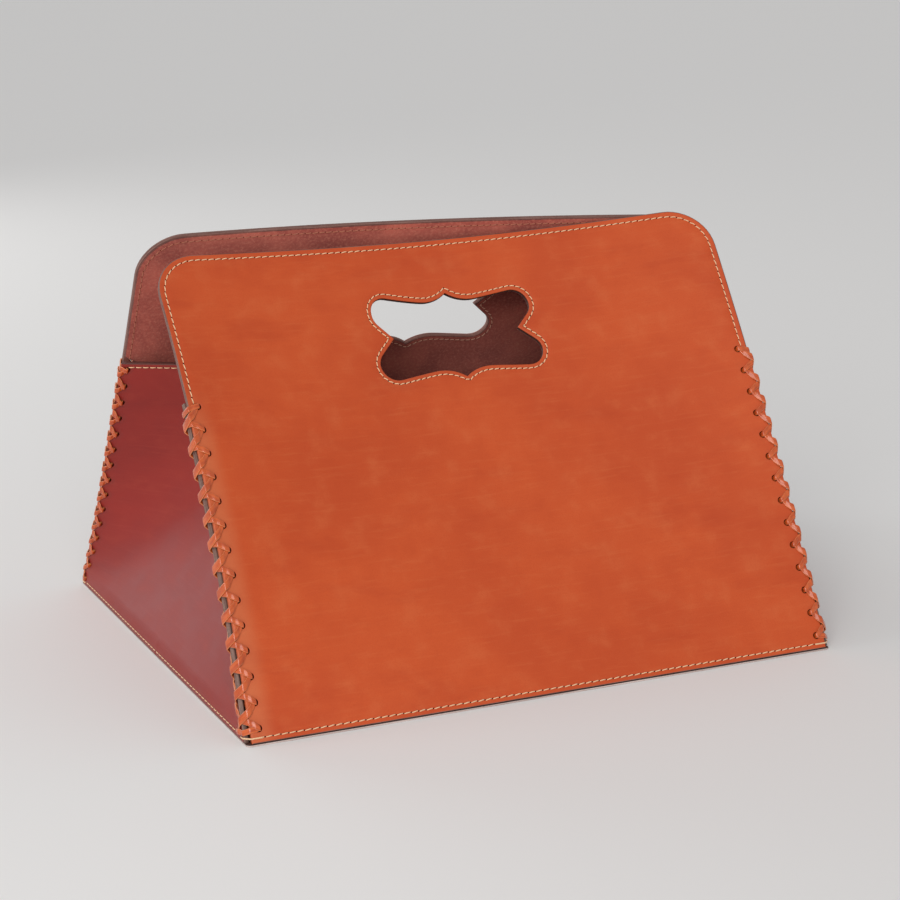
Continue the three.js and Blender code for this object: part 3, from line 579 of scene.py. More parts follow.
# ---------------- meshes
def make_object(name, points, faces, materials, slots=None, sheet=None, edge=None, sharp=()):
    """points in mm; sheet: each point's place on the sheet; edge: its distance to the nearest cut edge;
    materials: their names; sharp: pairs of points whose edges are shaded sharp."""
    mesh = bpy.data.meshes.new(name)
    points = np.asarray(points, float)
    mesh.from_pydata((points * MM).tolist(), [], [list(map(int, face)) for face in faces])
    for material in materials:
        mesh.materials.append(MATS[material])
    if slots is not None:
        mesh.polygons.foreach_set("material_index", np.asarray(slots, np.int32))
    mesh.polygons.foreach_set("use_smooth", np.full(len(faces), True))
    attribute = mesh.attributes.new("sheet", "FLOAT_VECTOR", "POINT")
    attribute.data.foreach_set("vector", np.asarray(sheet, np.float32).ravel())
    attribute = mesh.attributes.new("edge_mm", "FLOAT", "POINT")
    edge = np.full(len(points), NO_EDGE) if edge is None else edge
    attribute.data.foreach_set("value", np.asarray(edge, np.float32))
    if sharp:
        wanted = {frozenset(pair) for pair in sharp}
        mark = mesh.attributes.new("sharp_edge", "BOOLEAN", "EDGE")
        mark.data.foreach_set("value", [frozenset(e.vertices) in wanted for e in mesh.edges])
    mesh.validate()
    mesh.update()
    return link(name, mesh)


def settle(obj, node, body=None):
    """Hides the CAD node the piece stands in for and, given a body, hangs the piece on it."""
    if body:
        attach(obj, body)
    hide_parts(node)


def left_of(d):
    return np.stack([-d[:, 1], d[:, 0]], 1)


def offset_loop(loop, distance):
    """Moves a closed 2-D loop to its left, with mitred corners."""
    before = left_of(unit(loop - np.roll(loop, 1, axis=0)))
    after = left_of(unit(np.roll(loop, -1, axis=0) - loop))
    mitre = before + after
    mitre /= (1 + np.sum(before * after, axis=1))[:, None]
    mitre *= np.minimum(1, 1.6 / np.linalg.norm(mitre, axis=1, keepdims=True))
    return loop + mitre * distance


def inside(points, loop):
    """Which 2-D points lie in the closed loop."""
    x, y = points[:, 0][:, None], points[:, 1][:, None]
    ax, ay = loop[:, 0][None], loop[:, 1][None]
    bx, by = np.roll(ax, -1, axis=1), np.roll(ay, -1, axis=1)
    crosses = (ay > y) != (by > y)
    with np.errstate(divide="ignore", invalid="ignore"):
        at = ax + (y - ay) * (bx - ax) / (by - ay)
    return (np.sum(crosses & (x < at), axis=1) % 2) == 1


def on_sheet(points, loops):
    """Which 2-D points lie in the first loop and in none of the others."""
    ok = inside(points, loops[0])
    for hole in loops[1:]:
        ok &= ~inside(points, hole)
    return ok


def spaced(path, step, closed=False):
    """Points at even spacing along a 2-D path."""
    path = np.asarray(path, float)
    if closed:
        path = np.vstack([path, path[:1]])
    lengths = np.r_[0, np.cumsum(np.linalg.norm(np.diff(path, axis=0), axis=1))]
    count = max(2, int(round(lengths[-1] / step)))
    at = np.linspace(0, lengths[-1], count + 1)
    out = np.stack([np.interp(at, lengths, path[:, k]) for k in range(2)], 1)
    return out[:-1] if closed else out


def distance_to(points, path):
    """Least distance from 2-D points to a path's segments."""
    best = np.full(len(points), 1e9)
    for start, end in zip(path[:-1], path[1:]):
        d = end - start
        t = np.clip(((points - start) @ d) / max(d @ d, 1e-12), 0, 1)
        best = np.minimum(best, np.linalg.norm(points - start - t[:, None] * d, axis=1))
    return best


def in_hole(place, centres, stretch=1):
    """Whether a 2-D place lies in a lacing hole or on its rim."""
    gap = place - centres
    return np.min(np.hypot(gap[:, 0] / stretch, gap[:, 1])) < HOLE_RADIUS + HOLE_RIM


BEND_STEPS = 4  # rings of points over a rounded edge
COLLAR = 0.9  # a row of points this far in from the rounding


def slab(loops, grid, depth, thickness, radii, place, guides=(), lines=(), seam=False):
    """A sheet cut to a 2-D outline, with holes and rounded edges, laid in space by place(u, w, depth).

    loops: the outline anticlockwise, then the holes clockwise; radii: the rounding of each.
    guides: extra paths whose points join the mesh; lines: rows of stitches that press the outer face in.
    seam: the outline's points at u = 0 stay there, where another half of the sheet meets this one."""
    def moved(loop, distance):
        out = offset_loop(loop, distance)
        if seam:
            out[loop[:, 0] == 0, 0] = 0
        return out

    faces_2d = [moved(loop, r) for loop, r in zip(loops, radii)]
    collars = [offset_loop(loop, r + COLLAR) for loop, r in zip(loops, radii)]
    verts, edges = [], []
    for loop in [*faces_2d, *collars]:
        start = len(verts)
        verts += loop.tolist()
        edges += [(start + i, start + (i + 1) % len(loop)) for i in range(len(loop))]
    fixed = np.array(verts)
    free = np.vstack([points[on_sheet(points, collars)] for points in [*guides, grid]])
    near = np.ones(len(free), bool)
    for i in range(0, len(free), 2000):
        block = free[i:i + 2000]
        near[i:i + 2000] = np.min(np.linalg.norm(block[:, None] - fixed[None], axis=2), axis=1) > 1.0
    coords = [Vector(v) for v in np.vstack([fixed, free[near]])]
    out, _, tris, origin, _, _ = delaunay_2d_cdt(coords, edges, [], 0, 1e-5)
    flat = np.array([tuple(v) for v in out])
    tris = np.array([t for t in tris if len(t) == 3], int)
    tris = tris[on_sheet(flat[tris].mean(axis=1), faces_2d)]
    where = {source: index for index, sources in enumerate(origin) for source in sources}
    area = np.cross(flat[tris[:, 1]] - flat[tris[:, 0]], flat[tris[:, 2]] - flat[tris[:, 0]])
    tris[area < 0] = tris[area < 0][:, ::-1]
    used = np.unique(tris)
    count = len(used)
    small = np.full(len(flat), -1)
    small[used] = np.arange(count)
    outer = depth + groove(flat[used], lines)
    points_2d = [flat[used], flat[used]]
    depths = [outer, np.full(count, float(depth + thickness))]
    faces = [tuple(small[t]) for t in tris] + [tuple(small[t][::-1] + count) for t in tris]
    slots = [0] * len(tris) + [1] * len(tris)
    total = 2 * count
    sharp = []
    bend = [math.pi / 2 * k / BEND_STEPS for k in range(1, BEND_STEPS + 1)]
    start = 0
    for loop, r in zip(loops, radii):
        size = len(loop)
        ids = np.array([small[where[start + i]] for i in range(size)])
        start += size
        rings = [ids]
        profile = [(r * (1 - math.sin(a)), r * (1 - math.cos(a))) for a in bend]
        profile += [(r * (1 - math.sin(a)), thickness - r * (1 - math.cos(a))) for a in bend[::-1]]
        for inset, down in profile:
            points_2d.append(moved(loop, inset))
            depths.append(np.full(size, depth + down))
            rings.append(np.arange(total, total + size))
            total += size
        rings.append(ids + count)
        following = [*range(1, size), 0]
        for a, b in zip(rings[:-1], rings[1:]):
            faces += [(a[j], a[i], b[i], b[j]) for i, j in enumerate(following)]
        slots += [2] * (size * (len(rings) - 1))
        for i, j in enumerate(following):
            if seam and loop[i, 0] == 0 and loop[j, 0] == 0:
                sharp += [(ids[i], ids[j]), (ids[i] + count, ids[j] + count)]
    points_2d = np.vstack(points_2d)
    depths = np.concatenate(depths)
    edge = np.min([distance_to(points_2d, np.vstack([loop, loop[:1]])) for loop in loops], axis=0)
    if seam:
        edge = np.where(points_2d[:, 0] < SEAM_REACH, NO_EDGE, edge)
    points = place(points_2d[:, 0], points_2d[:, 1], depths)
    return points, faces, slots, np.column_stack([points_2d, depths]), edge, sharp


def groove(points, lines, width=0.75, depth=0.28):
    """How far the outer face is pressed in along the stitch lines."""
    out = np.zeros(len(points))
    for path in lines:
        out = np.maximum(out, depth * np.exp(-(distance_to(points, path) / width) ** 2))
    return out


# ---------------- outlines
def panel_outline(margin=0.0, laced=None, top_s=0.0, step=4.0):
    """Anticlockwise outline of a panel in (x, s), margin in from its edges, laced in from its laced ones,
    which end at top_s."""
    laced = margin if laced is None else laced
    top = PANEL_HEIGHT - margin
    radius = TOP_CORNER_RADIUS - margin
    corner_s = PANEL_HEIGHT - TOP_CORNER_RADIUS
    right = [(half_width(0) - laced, 0.0)]
    if laced > margin:
        right += [(half_width(top_s) - laced, top_s - 2), (half_width(top_s) - margin, top_s + 4)]
    right += [(half_width(corner_s) - margin, corner_s)]
    corner = []
    for k in range(1, 13):
        a = math.pi / 2 * k / 12
        s = corner_s + radius * math.sin(a)
        corner.append((half_width(s) - TOP_CORNER_RADIUS + radius * math.cos(a), s))
    half = spaced(right, step).tolist() + corner
    top_run = spaced([(half[-1][0], top), (-half[-1][0], top)], step)[1:-1].tolist()
    left = [(-x, s) for x, s in half[::-1]]
    foot = spaced([(-half[0][0], 0.0), (half[0][0], 0.0)], step)[1:-1].tolist()
    return np.array(half + top_run + left + foot)


def bezier(a, b, c, steps):
    t = np.linspace(0, 1, steps + 1)[1:, None]
    a, b, c = (np.array(p, float) for p in (a, b, c))
    return ((1 - t) ** 2 * a + 2 * t * (1 - t) * b + t * t * c).tolist()


def cut_out_outline():
    """The hand cut-out's outline, clockwise from the upper cusp: a quarter, mirrored, then drawn out of true
    a little at each lobe."""
    lobe_at = lambda a: [LOBE[0] + LOBE_RADIUS * math.cos(a), LOBE[1] + LOBE_RADIUS * math.sin(a)]
    x, y = lobe_at(LOBE_START)
    level = SHOULDER[1]
    back = (y - level) / math.tan(LOBE_START - math.pi / 2)
    cusp = [0, CUSP_HEIGHT]
    quarter = [cusp] + bezier(cusp, (8, level), SHOULDER, 8)
    quarter += bezier(SHOULDER, (x - back, level), (x, y), 10)
    quarter += [lobe_at(LOBE_START + (LOBE_END - LOBE_START) * k / 14) for k in range(1, 15)]
    quarter += spaced([quarter[-1], (WAIST, 0)], 2.2)[1:].tolist()
    q = np.array(quarter)
    whole = np.vstack([
        q,
        q[1:-1][::-1] * [1, -1],
        q[:1] * [1, -1],
        q[1:-1] * [-1, -1],
        q[-1:] * [-1, 1],
        q[1:-1][::-1] * [-1, 1],
    ])
    up = np.clip(whole[:, 1] / LOBE[1], -1, 1)
    out = np.clip(np.abs(whole[:, 0]) / LOBE[0], 0, 1) ** 2
    left = whole[:, 0] < 0
    lobe_shift = np.where(left, 0.55 * (up - 1), -0.9 - 1.8 * up)
    reach = np.where(left, 0.963 - 0.027 * up, 0.97 - 0.01 * up)
    whole[:, 1] += lobe_shift * out - 1.3 * (1 - out)
    whole[:, 0] *= reach
    return whole + [0, CUT_OUT_S]


def round_hole(centre, stretch=1, count=14):
    a = -np.arange(count) * 2 * math.pi / count
    radius = HOLE_RADIUS
    return np.stack([centre[0] + radius * np.cos(a) * stretch, centre[1] + radius * np.sin(a)], 1)


def lattice(low, high, step):
    """Points in staggered rows between two 2-D corners."""
    us = np.arange(low[0], high[0], step)
    ws = np.arange(low[1], high[1], step)
    u, w = np.meshgrid(us, ws)
    u = u + np.where(np.arange(len(ws)) % 2, step / 2, 0)[:, None]
    return np.stack([u.ravel(), w.ravel()], 1)


# ---------------- stitches
def tube_faces(start, end, size, turned=False):
    """The faces of a closed tube whose points run from start to end in rings of one size."""
    faces = []
    for ring in range(start, end - size, size):
        for j in range(size):
            a, b = ring + j, ring + (j + 1) % size
            faces.append((a, a + size, b + size, b) if turned else (a, b, b + size, a + size))
    turn = 1 if turned else -1
    return faces + [tuple(range(start, start + size))[::turn], tuple(range(end - size, end))[::-turn]]


class Row:
    """A row of stitches and needle holes, each hole a small dark disc of painted shade, as it is built up."""

    def __init__(self):
        self.points, self.faces, self.slots, self.sheet = [], [], [], []

    def tube(self, points, sheet, slot):
        """Adds a closed tube of rings with SIDES points each."""
        start = len(self.points)
        self.points += points
        self.sheet += sheet
        faces = tube_faces(start, len(self.points), SIDES)
        self.faces += faces
        self.slots += [slot] * len(faces)

    def finish(self, name, *materials):
        return make_object(name, self.points, self.faces, materials, self.slots, self.sheet)


STITCH_SHARES = np.array([-1.0, -0.93, -0.72, -0.35, 0.0, 0.35, 0.72, 0.93, 1.0])
STITCH_SWELL = np.sqrt(np.maximum(1 - STITCH_SHARES ** 2, 0.0)) * 0.55 + 0.45
STITCH_SWELL[[0, -1]] = 0.42
STITCH_FILL = 0.85  # of the pitch
LEAST_STITCH = 1.2
# the rings of a needle hole's dark disc of painted shade
NEEDLE_HOLE = ((0.5, -0.05), (0.44, 0.06), (0.16, 0.03))  # radius and height of each ring


def frames_along(surface, line):
    """Points in space along a 2-D line, with the normal, the tangent and the sideways direction there."""
    point, normal = surface(line[:, 0], line[:, 1])
    tangent = unit(np.gradient(point, axis=0))
    return point, normal, tangent, unit(np.cross(normal, tangent))


def stitch_run(path, surface, radius=0.39, slant=0.42, rise=0.34):
    """A row of single stitches. path: (u, w) needle points in order; surface(u, w) gives the point and the
    outward normal in space for arrays of u and w."""
    row = Row()
    path = np.asarray(path, float)
    middle = (path[:-1] + path[1:]) / 2
    run = path[1:] - path[:-1]
    height = rise * (1 - STITCH_SHARES ** 2) - 0.16 * STITCH_SHARES ** 8
    for m, d, size in zip(middle, run, np.linalg.norm(run, axis=1)):
        if size < LEAST_STITCH:
            continue
        along = d / size
        turn = slant * 0.35 + random.uniform(-0.12, 0.12) * 0.4
        heading = along * math.cos(turn) + np.array([-along[1], along[0]]) * math.sin(turn)
        line = m + STITCH_SHARES[:, None] * (size / 2 * STITCH_FILL) * heading
        points, sheet = [], []
        for p, n, _, c, h, swell, place in zip(*frames_along(surface, line), height, STITCH_SWELL, line):
            for a in ROUND:
                offset = c * math.cos(a) * radius * swell + n * math.sin(a) * radius * 0.8 * swell
                points.append(p + n * h + offset)
                sheet.append((place[0] + math.cos(a), place[1], 2 * math.sin(a)))
        row.tube(points, sheet, 0)
    # each needle point gets a small dark disc of painted shade for its hole
    rings = [(ring, r, up, a) for ring, (r, up) in enumerate(NEEDLE_HOLE) for a in ROUND]
    for p, n, t, c in zip(*frames_along(surface, path)):
        points = [p + (t * math.cos(a) + c * math.sin(a)) * r + n * up for _, r, up, a in rings]
        row.tube(points, [(p[0], p[2], ring) for ring, *_ in rings], 1)
    return row


def panel_surface(panel, depth, outward):
    def surface(x, s):
        normal = panel_in(panel, x, s) * (-1 if outward else 1)
        return panel_level(panel, x, s, np.full(len(x), depth)), normal
    return surface


def edge_stitch_path(panel):
    start = panel["holes"][0] + 0.2
    outline = panel_outline(EDGE_STITCH, step=2.0)
    upper = outline[outline[:, 1] > start]
    order = np.argsort(-np.arctan2(upper[:, 0], upper[:, 1] - start + 1e-6))
    return spaced(upper[order], EDGE_PITCH)


CORNER_STITCH_RADIUS = 0.48
# how far in from the panel's edge and how deep under its face each stop of the corner stitch lies
CORNER_STITCH = (
    (8.0, 0.2), (7.5, -0.3), (5.5, -0.38), (3.4, -0.4), (1.2, -0.42), (-0.1, -0.3), (-1.2, 0.6),
    (-2.6, 2.0), (-4.0, 3.6), (-4.25, 4.6), (-4.25, 6.5), (-4.1, 8.0), (-3.6, 8.6),
)


def corner_stitch(panel, side, row):
    """The long stitch that closes the foot's corner, from the panel's face round onto the gusset's edge."""
    stops = [(side * (half_width(0) - inset), depth) for inset, depth in CORNER_STITCH]
    centre = np.array([panel_level(panel, x, FOOT_STITCH, depth) for x, depth in stops])
    tangent = unit(np.gradient(centre, axis=0))
    outward = unit(np.cross(tangent, np.array([0.0, 0.0, 1.0])))
    points, sheet = [], []
    for k, (c, o, d) in enumerate(zip(centre, outward, tangent)):
        upward = unit(np.cross(d, o))
        for a in ROUND:
            offset = o * math.cos(a) * CORNER_STITCH_RADIUS * 0.75
            points.append(c + offset + upward * math.sin(a) * CORNER_STITCH_RADIUS * 1.15)
            sheet.append((k * 2.0 + math.cos(a), side, 2 * math.sin(a)))
    row.tube(points, sheet, 0)


# ---------------- panels
def make_panel(panel):
    name = panel["name"]
    body = f"{name}_panel"
    cut = cut_out_outline()
    centres = np.array([
        (side * (half_width(lacing(panel, "holes", i)) - lacing(panel, "insets", i)), lacing(panel, "holes", i))
        for side in (-1, 1) for i in range(panel["steps"] + 1)
    ])
    holes = [round_hole(centre) for centre in centres]
    edge_path = edge_stitch_path(panel)
    cut_path = spaced(offset_loop(cut, CUT_STITCH), CUT_PITCH, closed=True)
    cut_path = np.vstack([cut_path, cut_path[:1]])
    foot_end = half_width(FOOT_STITCH) - FOOT_ROW_END
    foot_path = spaced([(-foot_end, FOOT_STITCH), (foot_end, FOOT_STITCH)], FOOT_PITCH)
    lines = [edge_path, cut_path, foot_path]
    guides = []
    for path in lines:
        fine = spaced(path, GUIDE_STEP)
        left = left_of(unit(np.gradient(fine, axis=0))) * GUIDE_GAP
        guides += [fine, fine + left, fine - left]
    low, high = (-HALF_WIDTH, 1.0), (HALF_WIDTH, PANEL_HEIGHT)
    place = lambda x, s, depth: panel_level(panel, x, s, depth)
    radii = [ROUNDING["panel"], ROUNDING["cut_out"]] + [ROUNDING["panel_hole"]] * len(holes)
    points, faces, slots, sheet, edge, sharp = slab(
        [panel_outline(step=3.0), cut, *holes], lattice(low, high, 6.0), 0.0, LEATHER, radii, place,
        guides, lines,
    )
    for k, face in enumerate(faces):
        if slots[k] != 2:
            continue
        x, s, depth = np.mean(sheet[list(face)], axis=0)
        if in_hole(np.array([x, s]), centres):
            slots[k] = 3 if depth > 0.35 else 0
        elif abs(x) < CUT_OUT_ZONE[0] and abs(s - CUT_OUT_S) < CUT_OUT_ZONE[1]:
            slots[k] = 4 if depth > 0.7 else 0
        elif 1 < s < panel["gusset"] - 4 and abs(x) > half_width(s) - 2:
            slots[k] = 0
    # slot 4, the cut-out's wall, is painted shade on the front panel and painted light on the back one
    materials = ("panel", "flesh", "panel_edge", "hole_wall_painted_shade", f"{name}_cut_out_edge_painted_light")
    hide = make_object(f"{name}_panel_hide", points, faces, materials, slots, sheet, edge, sharp)
    settle(hide, f"{name}_panel_leather", body)

    # beside the lacing the lining stops short; at the back it reaches the gusset's top edge
    laced_top = panel["holes"][0] + (4 if panel["tail"] else -0.5)
    points, faces, slots, sheet, edge, _ = slab(
        [panel_outline(LINING_MARGIN, LACED_MARGIN, laced_top, step=5.0), offset_loop(cut, 0.4)],
        lattice(low, high, 9.0), LEATHER + FIT * 0.6, LINING + FIT * 0.4, [ROUNDING["lining"]] * 2, place,
    )
    materials = ("suede", "suede", "suede_edge")
    lining = make_object(f"{name}_panel_suede", points, faces, materials, slots, sheet, edge)
    settle(lining, f"{name}_panel_lining", body)

    outer = panel_surface(panel, 0.12, True)
    inner = panel_surface(panel, WALL, False)
    for label, path, node, inside_thread in (
        ("edge_stitches", edge_path, f"{name}_panel_edge_thread", "thread_inside"),
        ("cut_out_stitches", cut_path, f"{name}_cut_out_thread", "thread_cut_out_inside"),
        ("foot_stitches", foot_path, f"{name}_foot_thread", None),
    ):
        row = stitch_run(path, outer)
        if inside_thread:
            back = stitch_run(path, inner, radius=0.34, rise=0.2)
            back = back.finish(f"{name}_{label}_inside", inside_thread, "hole_inside")
            settle(back, node, body)
        else:
            for gusset in (LEFT, RIGHT):
                corner_stitch(panel, gusset["side"], row)
        settle(row.finish(f"{name}_{label}", "thread", "hole"), node, body)


# ---------------- gussets
def blend_gusset(obj, gusset, panel):
    """Bakes the half's transform into its mesh; the corner points, edge and fold top it works out are not used.
    """
    foot, top = (corner_point(panel, gusset["side"], np.array(t)) for t in (0.0, 1.0))
    edge = unit(top - foot)
    inward = np.array([0, -panel["facing"], 0.0])
    inward = unit(inward - edge * (inward @ edge))
    fold_top = gusset_face(gusset, np.array(0.0), np.array(1.0))
    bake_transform(obj)


def make_gusset_half(gusset, panel):
    """From the fold to a panel. u runs from the fold, 0, to the laced edge; w runs up the sheet."""
    side, facing = gusset["side"], panel["facing"]
    name, half = gusset["name"], panel["name"]
    mirrored = facing * side < 0
    wide, height = GUSSET_HALF, GUSSET_SHEET

    def to_face(u, w, out):
        return gusset_point(gusset, facing * u / wide, w / height, out)

    def outer_down(u, w, depth):
        point = to_face(u, w, LEATHER - depth)
        low = np.clip(1 - w / 10, 0, 1)
        point[..., 2] += (FOOT_Z - point[..., 2]) * np.where(w <= 0.9, 1, 0) * low
        return point

    def settle_half(obj, node):
        blend_gusset(obj, gusset, panel)
        settle(obj, f"{name}_gusset_{node}")

    def turned(faces):
        return faces if mirrored else [face[::-1] for face in faces]

    outline = np.vstack([
        spaced([(wide, 0), (wide, height)], 3.0),
        spaced([(wide, height), (0, height)], 3.0)[1:-1],
        spaced([(0, height), (0, 0)], 4.0),
        spaced([(0, 0), (wide, 0)], 3.0)[1:-1],
    ])
    shares = [gusset_share(panel, side, gusset_hole_s(panel, i)) for i in range(panel["steps"] + 1)]
    stretches = np.array([wide / gusset_scale(gusset, t) for t in shares])
    centres = np.array([(wide - panel["gusset_inset"] * k, t * height) for t, k in zip(shares, stretches)])
    holes = [round_hole(centre, stretch) for centre, stretch in zip(centres, stretches)]
    points, faces, slots, sheet, edge, sharp = slab(
        [outline, *holes], lattice((0, 1.0), (wide, height), 4.0), 0.0, LEATHER,
        [ROUNDING["gusset"]] + [ROUNDING["gusset_hole"]] * len(holes), outer_down, seam=True,
    )
    for k, face in enumerate(faces):
        if slots[k] != 2:
            continue
        u, w, depth = np.mean(sheet[list(face)], axis=0)
        if in_hole(np.array([u, w]), centres, stretches):
            slots[k] = 3 if depth > 0.3 else 0
        elif w > height - 1:
            slots[k] = 4
        elif panel is BACK and u > wide - 3:
            slots[k] = 0
    materials = ("gusset", "flesh", "gusset_edge", "hole_wall_painted_shade", "gusset_rim")
    hide = make_object(f"{name}_gusset_hide_{half}", points, turned(faces), materials, slots, sheet, edge, sharp)
    settle_half(hide, "leather")

    us = np.linspace(0, GUSSET_LINING_REACH * wide, 30)
    u, w = np.meshgrid(us, np.linspace(0.4, height - GUSSET_LINING_MARGIN, 44))
    sheet = [
        np.column_stack([u.ravel(), w.ravel(), np.full(u.size, out)])
        for out in (-GUSSET_LINING_FIT, -GUSSET_LINING_FIT - LINING)
    ]
    points = [to_face(*layer.T) for layer in sheet]
    near = np.arange(u.size).reshape(u.shape)
    far = near + u.size
    faces = []
    for r in range(u.shape[0] - 1):
        for c in range(u.shape[1] - 1):
            faces.append((near[r, c], near[r, c + 1], near[r + 1, c + 1], near[r + 1, c]))
            faces.append((far[r, c], far[r + 1, c], far[r + 1, c + 1], far[r, c + 1]))
    rim = [*near[0, :-1], *near[:-1, -1], *near[-1, :0:-1], *near[:0:-1, 0]]
    faces += [(a + u.size, b + u.size, b, a) for a, b in zip(rim, rim[1:] + rim[:1])]
    lining = make_object(
        f"{name}_gusset_suede_{half}", np.vstack(points), turned(faces), ["suede"], sheet=np.vstack(sheet))
    settle_half(lining, "lining")

    def surface(u, w):
        return to_face(u, w, np.full(len(u), LEATHER)), gusset_out(gusset, facing * u / wide, w / height)

    for label, w, margin, pitch in (
        ("top", height - GUSSET_TOP_STITCH, TOP_ROW_END, EDGE_PITCH),
        ("foot", GUSSET_FOOT_STITCH, FOOT_ROW_END, GUSSET_FOOT_PITCH),
    ):
        us = np.linspace(0.0, wide - margin * wide / gusset_scale(gusset, w / height), 400)
        face = to_face(us, np.full(len(us), w), np.full(len(us), LEATHER))
        lengths = np.r_[0, np.cumsum(np.linalg.norm(np.diff(face, axis=0), axis=1))]
        count = int(lengths[-1] / pitch)
        at = np.linspace(0.35, lengths[-1], count + 1)
        path = np.column_stack([np.interp(at, lengths, us), np.full(count + 1, w)])
        row = stitch_run(path, surface, slant=0.0)
        stitches = row.finish(f"{name}_gusset_{label}_stitches_{half}", "thread", "hole")
        settle_half(stitches, f"{label}_thread")


# ---------------- lacing
def lace_path(panel, gusset):
    """Stops of the lace: place, direction across the strap, half its width, and how high it lies."""
    side, facing = gusset["side"], panel["facing"]
    gusset_inset = panel["gusset_inset"]

    def on_panel(s, inset, depth):
        x = side * (half_width(s) - inset)
        return panel_point(panel, x, s, depth), panel_up(panel, np.float64(x), np.float64(s))

    def on_gusset(s, inset, out):
        t = gusset_share(panel, side, s)
        v = facing * (1 - inset / gusset_scale(gusset, t))
        return gusset_point(gusset, v, t, out), gusset_along(gusset, v, t)

    def turn(panel_hole, gusset_hole, panel_lane, gusset_lane, corner_lane):
        """Out through a panel hole, round the corner and in through a gusset hole."""
        start, end = lacing(panel, "holes", panel_hole), gusset_hole_s(panel, gusset_hole)
        inset = lacing(panel, "insets", panel_hole)
        run = inset + LEATHER + gusset_inset
        full = LACE_WIDTH / 2 * math.hypot(1, (end - start) / run)
        part = (LACE_PINCHED + full) / 2
        in_panel, in_gusset = inset - LACE_SPACING / 2, gusset_inset - LACE_SPACING / 2
        at = lambda done: start + (end - start) * done / run
        face = LEATHER + LACE_LIFT
        from_hole = lambda share: on_panel(at(share * inset), (1 - share) * inset, -LACE_LIFT)
        to_hole = lambda share: on_gusset(at(run - share * gusset_inset), (1 - share) * gusset_inset, face)
        return [
            (*on_panel(start, in_panel, face), LACE_PINCHED, panel_lane),
            (*on_panel(start, in_panel, -LACE_LIFT), LACE_PINCHED, panel_lane),
            (*from_hole(0.22), part, panel_lane),
            (*from_hole(0.4), full, panel_lane),
            (*from_hole(0.75), full, corner_lane),
            (*on_panel(at(inset), -LACE_LIFT, -LACE_LIFT), full, corner_lane),
            (*on_gusset(at(inset + LEATHER), -LACE_LIFT, face), full, corner_lane),
            (*to_hole(0.72), full, corner_lane),
            (*to_hole(0.41), full, gusset_lane),
            (*to_hole(0.22), part, gusset_lane),
            (*on_gusset(end, in_gusset, face), LACE_PINCHED, gusset_lane),
            (*on_gusset(end, in_gusset, -LACE_LIFT), LACE_PINCHED, gusset_lane),
        ]

    steps = panel["steps"]
    over = 1 if facing < 0 else 0
    path = []
    for i in range(steps):
        path += turn(i, i + 1, 1 - over, 1 - over, over)
    path += turn(steps, steps, 1 - over, over, 0)
    for i in range(steps, 0, -1):
        path += turn(i, i - 1, over, over, 1 - over)
    path += turn(0, 0, over, 1 - over, 0)
    panel_inset = lacing(panel, "insets", 0) - LACE_SPACING / 2
    lift = LEATHER + LACE_LIFT + LACE_SPACING
    (*_, first_half, first_lane), (*_, last_half, last_lane) = path[0], path[-1]
    top = panel["holes"][0]
    if panel["tail"]:
        ends = (panel_inset + panel["tail"], panel_inset + 0.6)
        head = [(*on_panel(top, inset, lift), first_half, 0.0) for inset in ends]
    else:
        head = [(*on_panel(top, panel_inset, LEATHER / 2), first_half, first_lane)]
    end = on_gusset(gusset_hole_s(panel, 0), gusset_inset - LACE_SPACING / 2, -LACE_FIT)
    return [*head, *path[1:-1], (*end, last_half, last_lane)]


def strap_frames(path, handed):
    """Centre, width and thickness directions of each stop, with mitred bends."""
    points = [np.asarray(p, float) for p, _, _, _ in path]
    steps = [after - before for before, after in zip(points[:-1], points[1:])]
    frames = []
    for i, (_, along, half, lane) in enumerate(path):
        before, after = (
            unit(np.cross(along, steps[k])) * handed for k in (max(i - 1, 0), min(i, len(steps) - 1)))
        mitre = (before + after) / (1 + before @ after)
        frames.append((points[i] + mitre * lane * LACE_SPACING, np.asarray(along, float), half, mitre))
    return frames


def rounded_stops(frames):
    """Each bend between the ends becomes a short arc."""
    out = [frames[0]]
    for before, here, after in zip(frames[:-2], frames[1:-1], frames[2:]):
        sides = []
        for other in (before, after):
            reach = min(0.42, 0.9 / max(np.linalg.norm(here[0] - other[0]), 1e-6))
            sides.append([x + (y - x) * reach for x, y in zip(here, other)])
        for t in (0.0, 0.33, 0.67, 1.0):
            a, b, c = (1 - t) ** 2, 2 * t * (1 - t), t * t
            out.append(tuple(a * x + b * y + c * z for x, y, z in zip(sides[0], here, sides[1])))
    return [*out, frames[-1]]


# the strap's section: flat underneath, slightly crowned on top, with soft edges
STRAP_SECTION = (
    (-1.0, -0.15), (-0.96, -0.42), (-0.8, -0.5), (0, -0.5), (0.8, -0.5), (0.96, -0.42), (1.0, -0.15), (1.0, 0.12),
    (0.93, 0.36), (0.72, 0.5), (0.35, 0.58), (0, 0.6), (-0.35, 0.58), (-0.72, 0.5), (-0.93, 0.36), (-1.0, 0.12),
)
MITRE_LIMIT = 1.35


def make_lace(panel, gusset):
    side, facing = gusset["side"], panel["facing"]
    name = f"{panel['name']}_{gusset['name']}"
    handed = side * facing
    stops = rounded_stops(strap_frames(lace_path(panel, gusset), handed))
    points, sheet, edge = [], [], []
    run = 0.0
    previous = stops[0][0]
    for centre, along, half, mitre in stops:
        run += np.linalg.norm(centre - previous)
        previous = centre
        length = np.linalg.norm(mitre)
        thick = mitre if length < MITRE_LIMIT else mitre / length * MITRE_LIMIT
        for wide, up in STRAP_SECTION:
            points.append(centre + unit(along) * wide * half + thick * up * LACE_THICKNESS)
            sheet.append((run, wide * LACE_WIDTH, up + 7 * (side + 2 * facing)))
            edge.append((1 - abs(wide)) * LACE_WIDTH / 2)
    faces = tube_faces(0, len(points), len(STRAP_SECTION), handed > 0)
    lace = make_object(f"{name}_lacing", points, faces, ["lace"], None, sheet, edge)
    settle(lace, f"{name}_lace", f"{panel['name']}_panel")


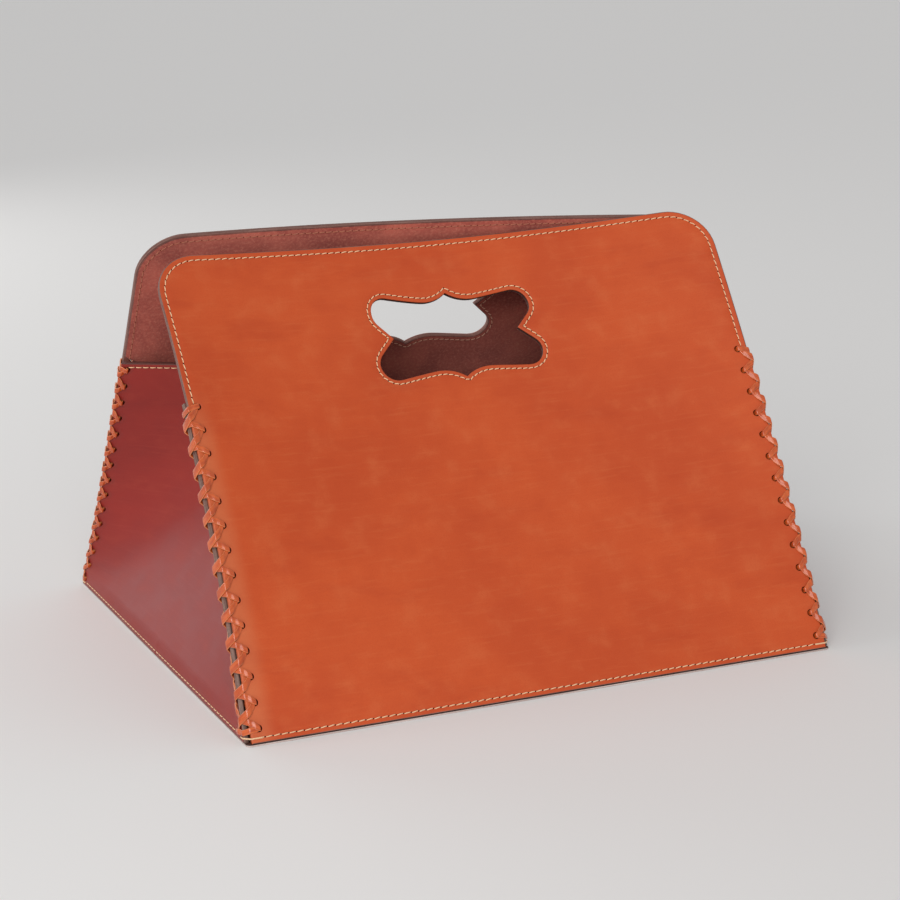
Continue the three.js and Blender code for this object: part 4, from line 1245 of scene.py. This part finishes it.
# ---------------- base
def make_base():
    """The sole, with its edges rounded over, and the liner: both cut as sheets."""
    half_x = HALF_WIDTH + CORNER_GAP + LEATHER - SOLE_SETBACK
    half_y = HALF_DEPTH - SOLE_SETBACK
    outline = []
    for i, (x, y) in enumerate(((-half_x, -half_y), (half_x, -half_y), (half_x, half_y), (-half_x, half_y))):
        cx, cy = x - math.copysign(SOLE_CORNER, x), y - math.copysign(SOLE_CORNER, y)
        for k in range(5):
            a = math.radians(180 + 90 * i) + math.pi / 2 * k / 4
            outline.append((cx + SOLE_CORNER * math.cos(a), cy + SOLE_CORNER * math.sin(a)))
    points, faces, slots, sheet, edge, _ = slab(
        [np.array(outline)], lattice((-half_x, -half_y), (half_x, half_y), 24.0), 0.0, SOLE,
        [ROUNDING["sole"]], lambda u, w, depth: np.stack([u, w, SOLE - depth], -1),
    )
    # the upper half of the sole's edge takes the painted shadow, the lower half the pale edge with its painted
    # highlight
    for k, face in enumerate(faces):
        if slots[k] == 2 and np.mean(sheet[list(face)], axis=0)[2] < SOLE / 2:
            slots[k] = 3
    materials = ("sole", "sole", "sole_edge", "sole_edge_top_painted_shadow")
    sole = make_object("sole_hide", points, faces, materials, slots, sheet, edge)
    settle(sole, "base_sole", "base")

    lo, hi = (np.array(c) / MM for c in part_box("base_liner"))
    near, far = lo + BASE_NOTCH, hi - BASE_NOTCH
    outline = spaced([
        (near[0], lo[1]), (far[0], lo[1]), (hi[0], near[1]), (hi[0], far[1]),
        (far[0], hi[1]), (near[0], hi[1]), (lo[0], far[1]), (lo[0], near[1]),
    ], 6.0, closed=True)
    points, faces, slots, sheet, edge, _ = slab(
        [outline], lattice(lo, hi, 12.0), 0.0, hi[2] - lo[2], [ROUNDING["lining"]],
        lambda u, w, depth: np.stack([u, w, hi[2] - depth], -1),
    )
    liner = make_object("base_suede", points, faces, ["suede"] * 3, slots, sheet, edge)
    settle(liner, "base_liner", "base")


def dress_nodes():
    """The hidden CAD pieces keep their shape and get a finish of their own."""
    for node, material in (
        ("base_tray", "sole"), ("base_board", "board"),
        ("front_base_flange", "sole"), ("back_base_flange", "sole"),
    ):
        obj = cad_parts[node]
        obj.data.materials.clear()
        obj.data.materials.append(MATS[material])


make_camera()
make_floor()
make_light()
make_base()
dress_nodes()
for panel in (FRONT, BACK):
    make_panel(panel)
for gusset in (LEFT, RIGHT):
    for panel in (FRONT, BACK):
        make_gusset_half(gusset, panel)
for panel in (FRONT, BACK):
    for gusset in (LEFT, RIGHT):
        make_lace(panel, gusset)
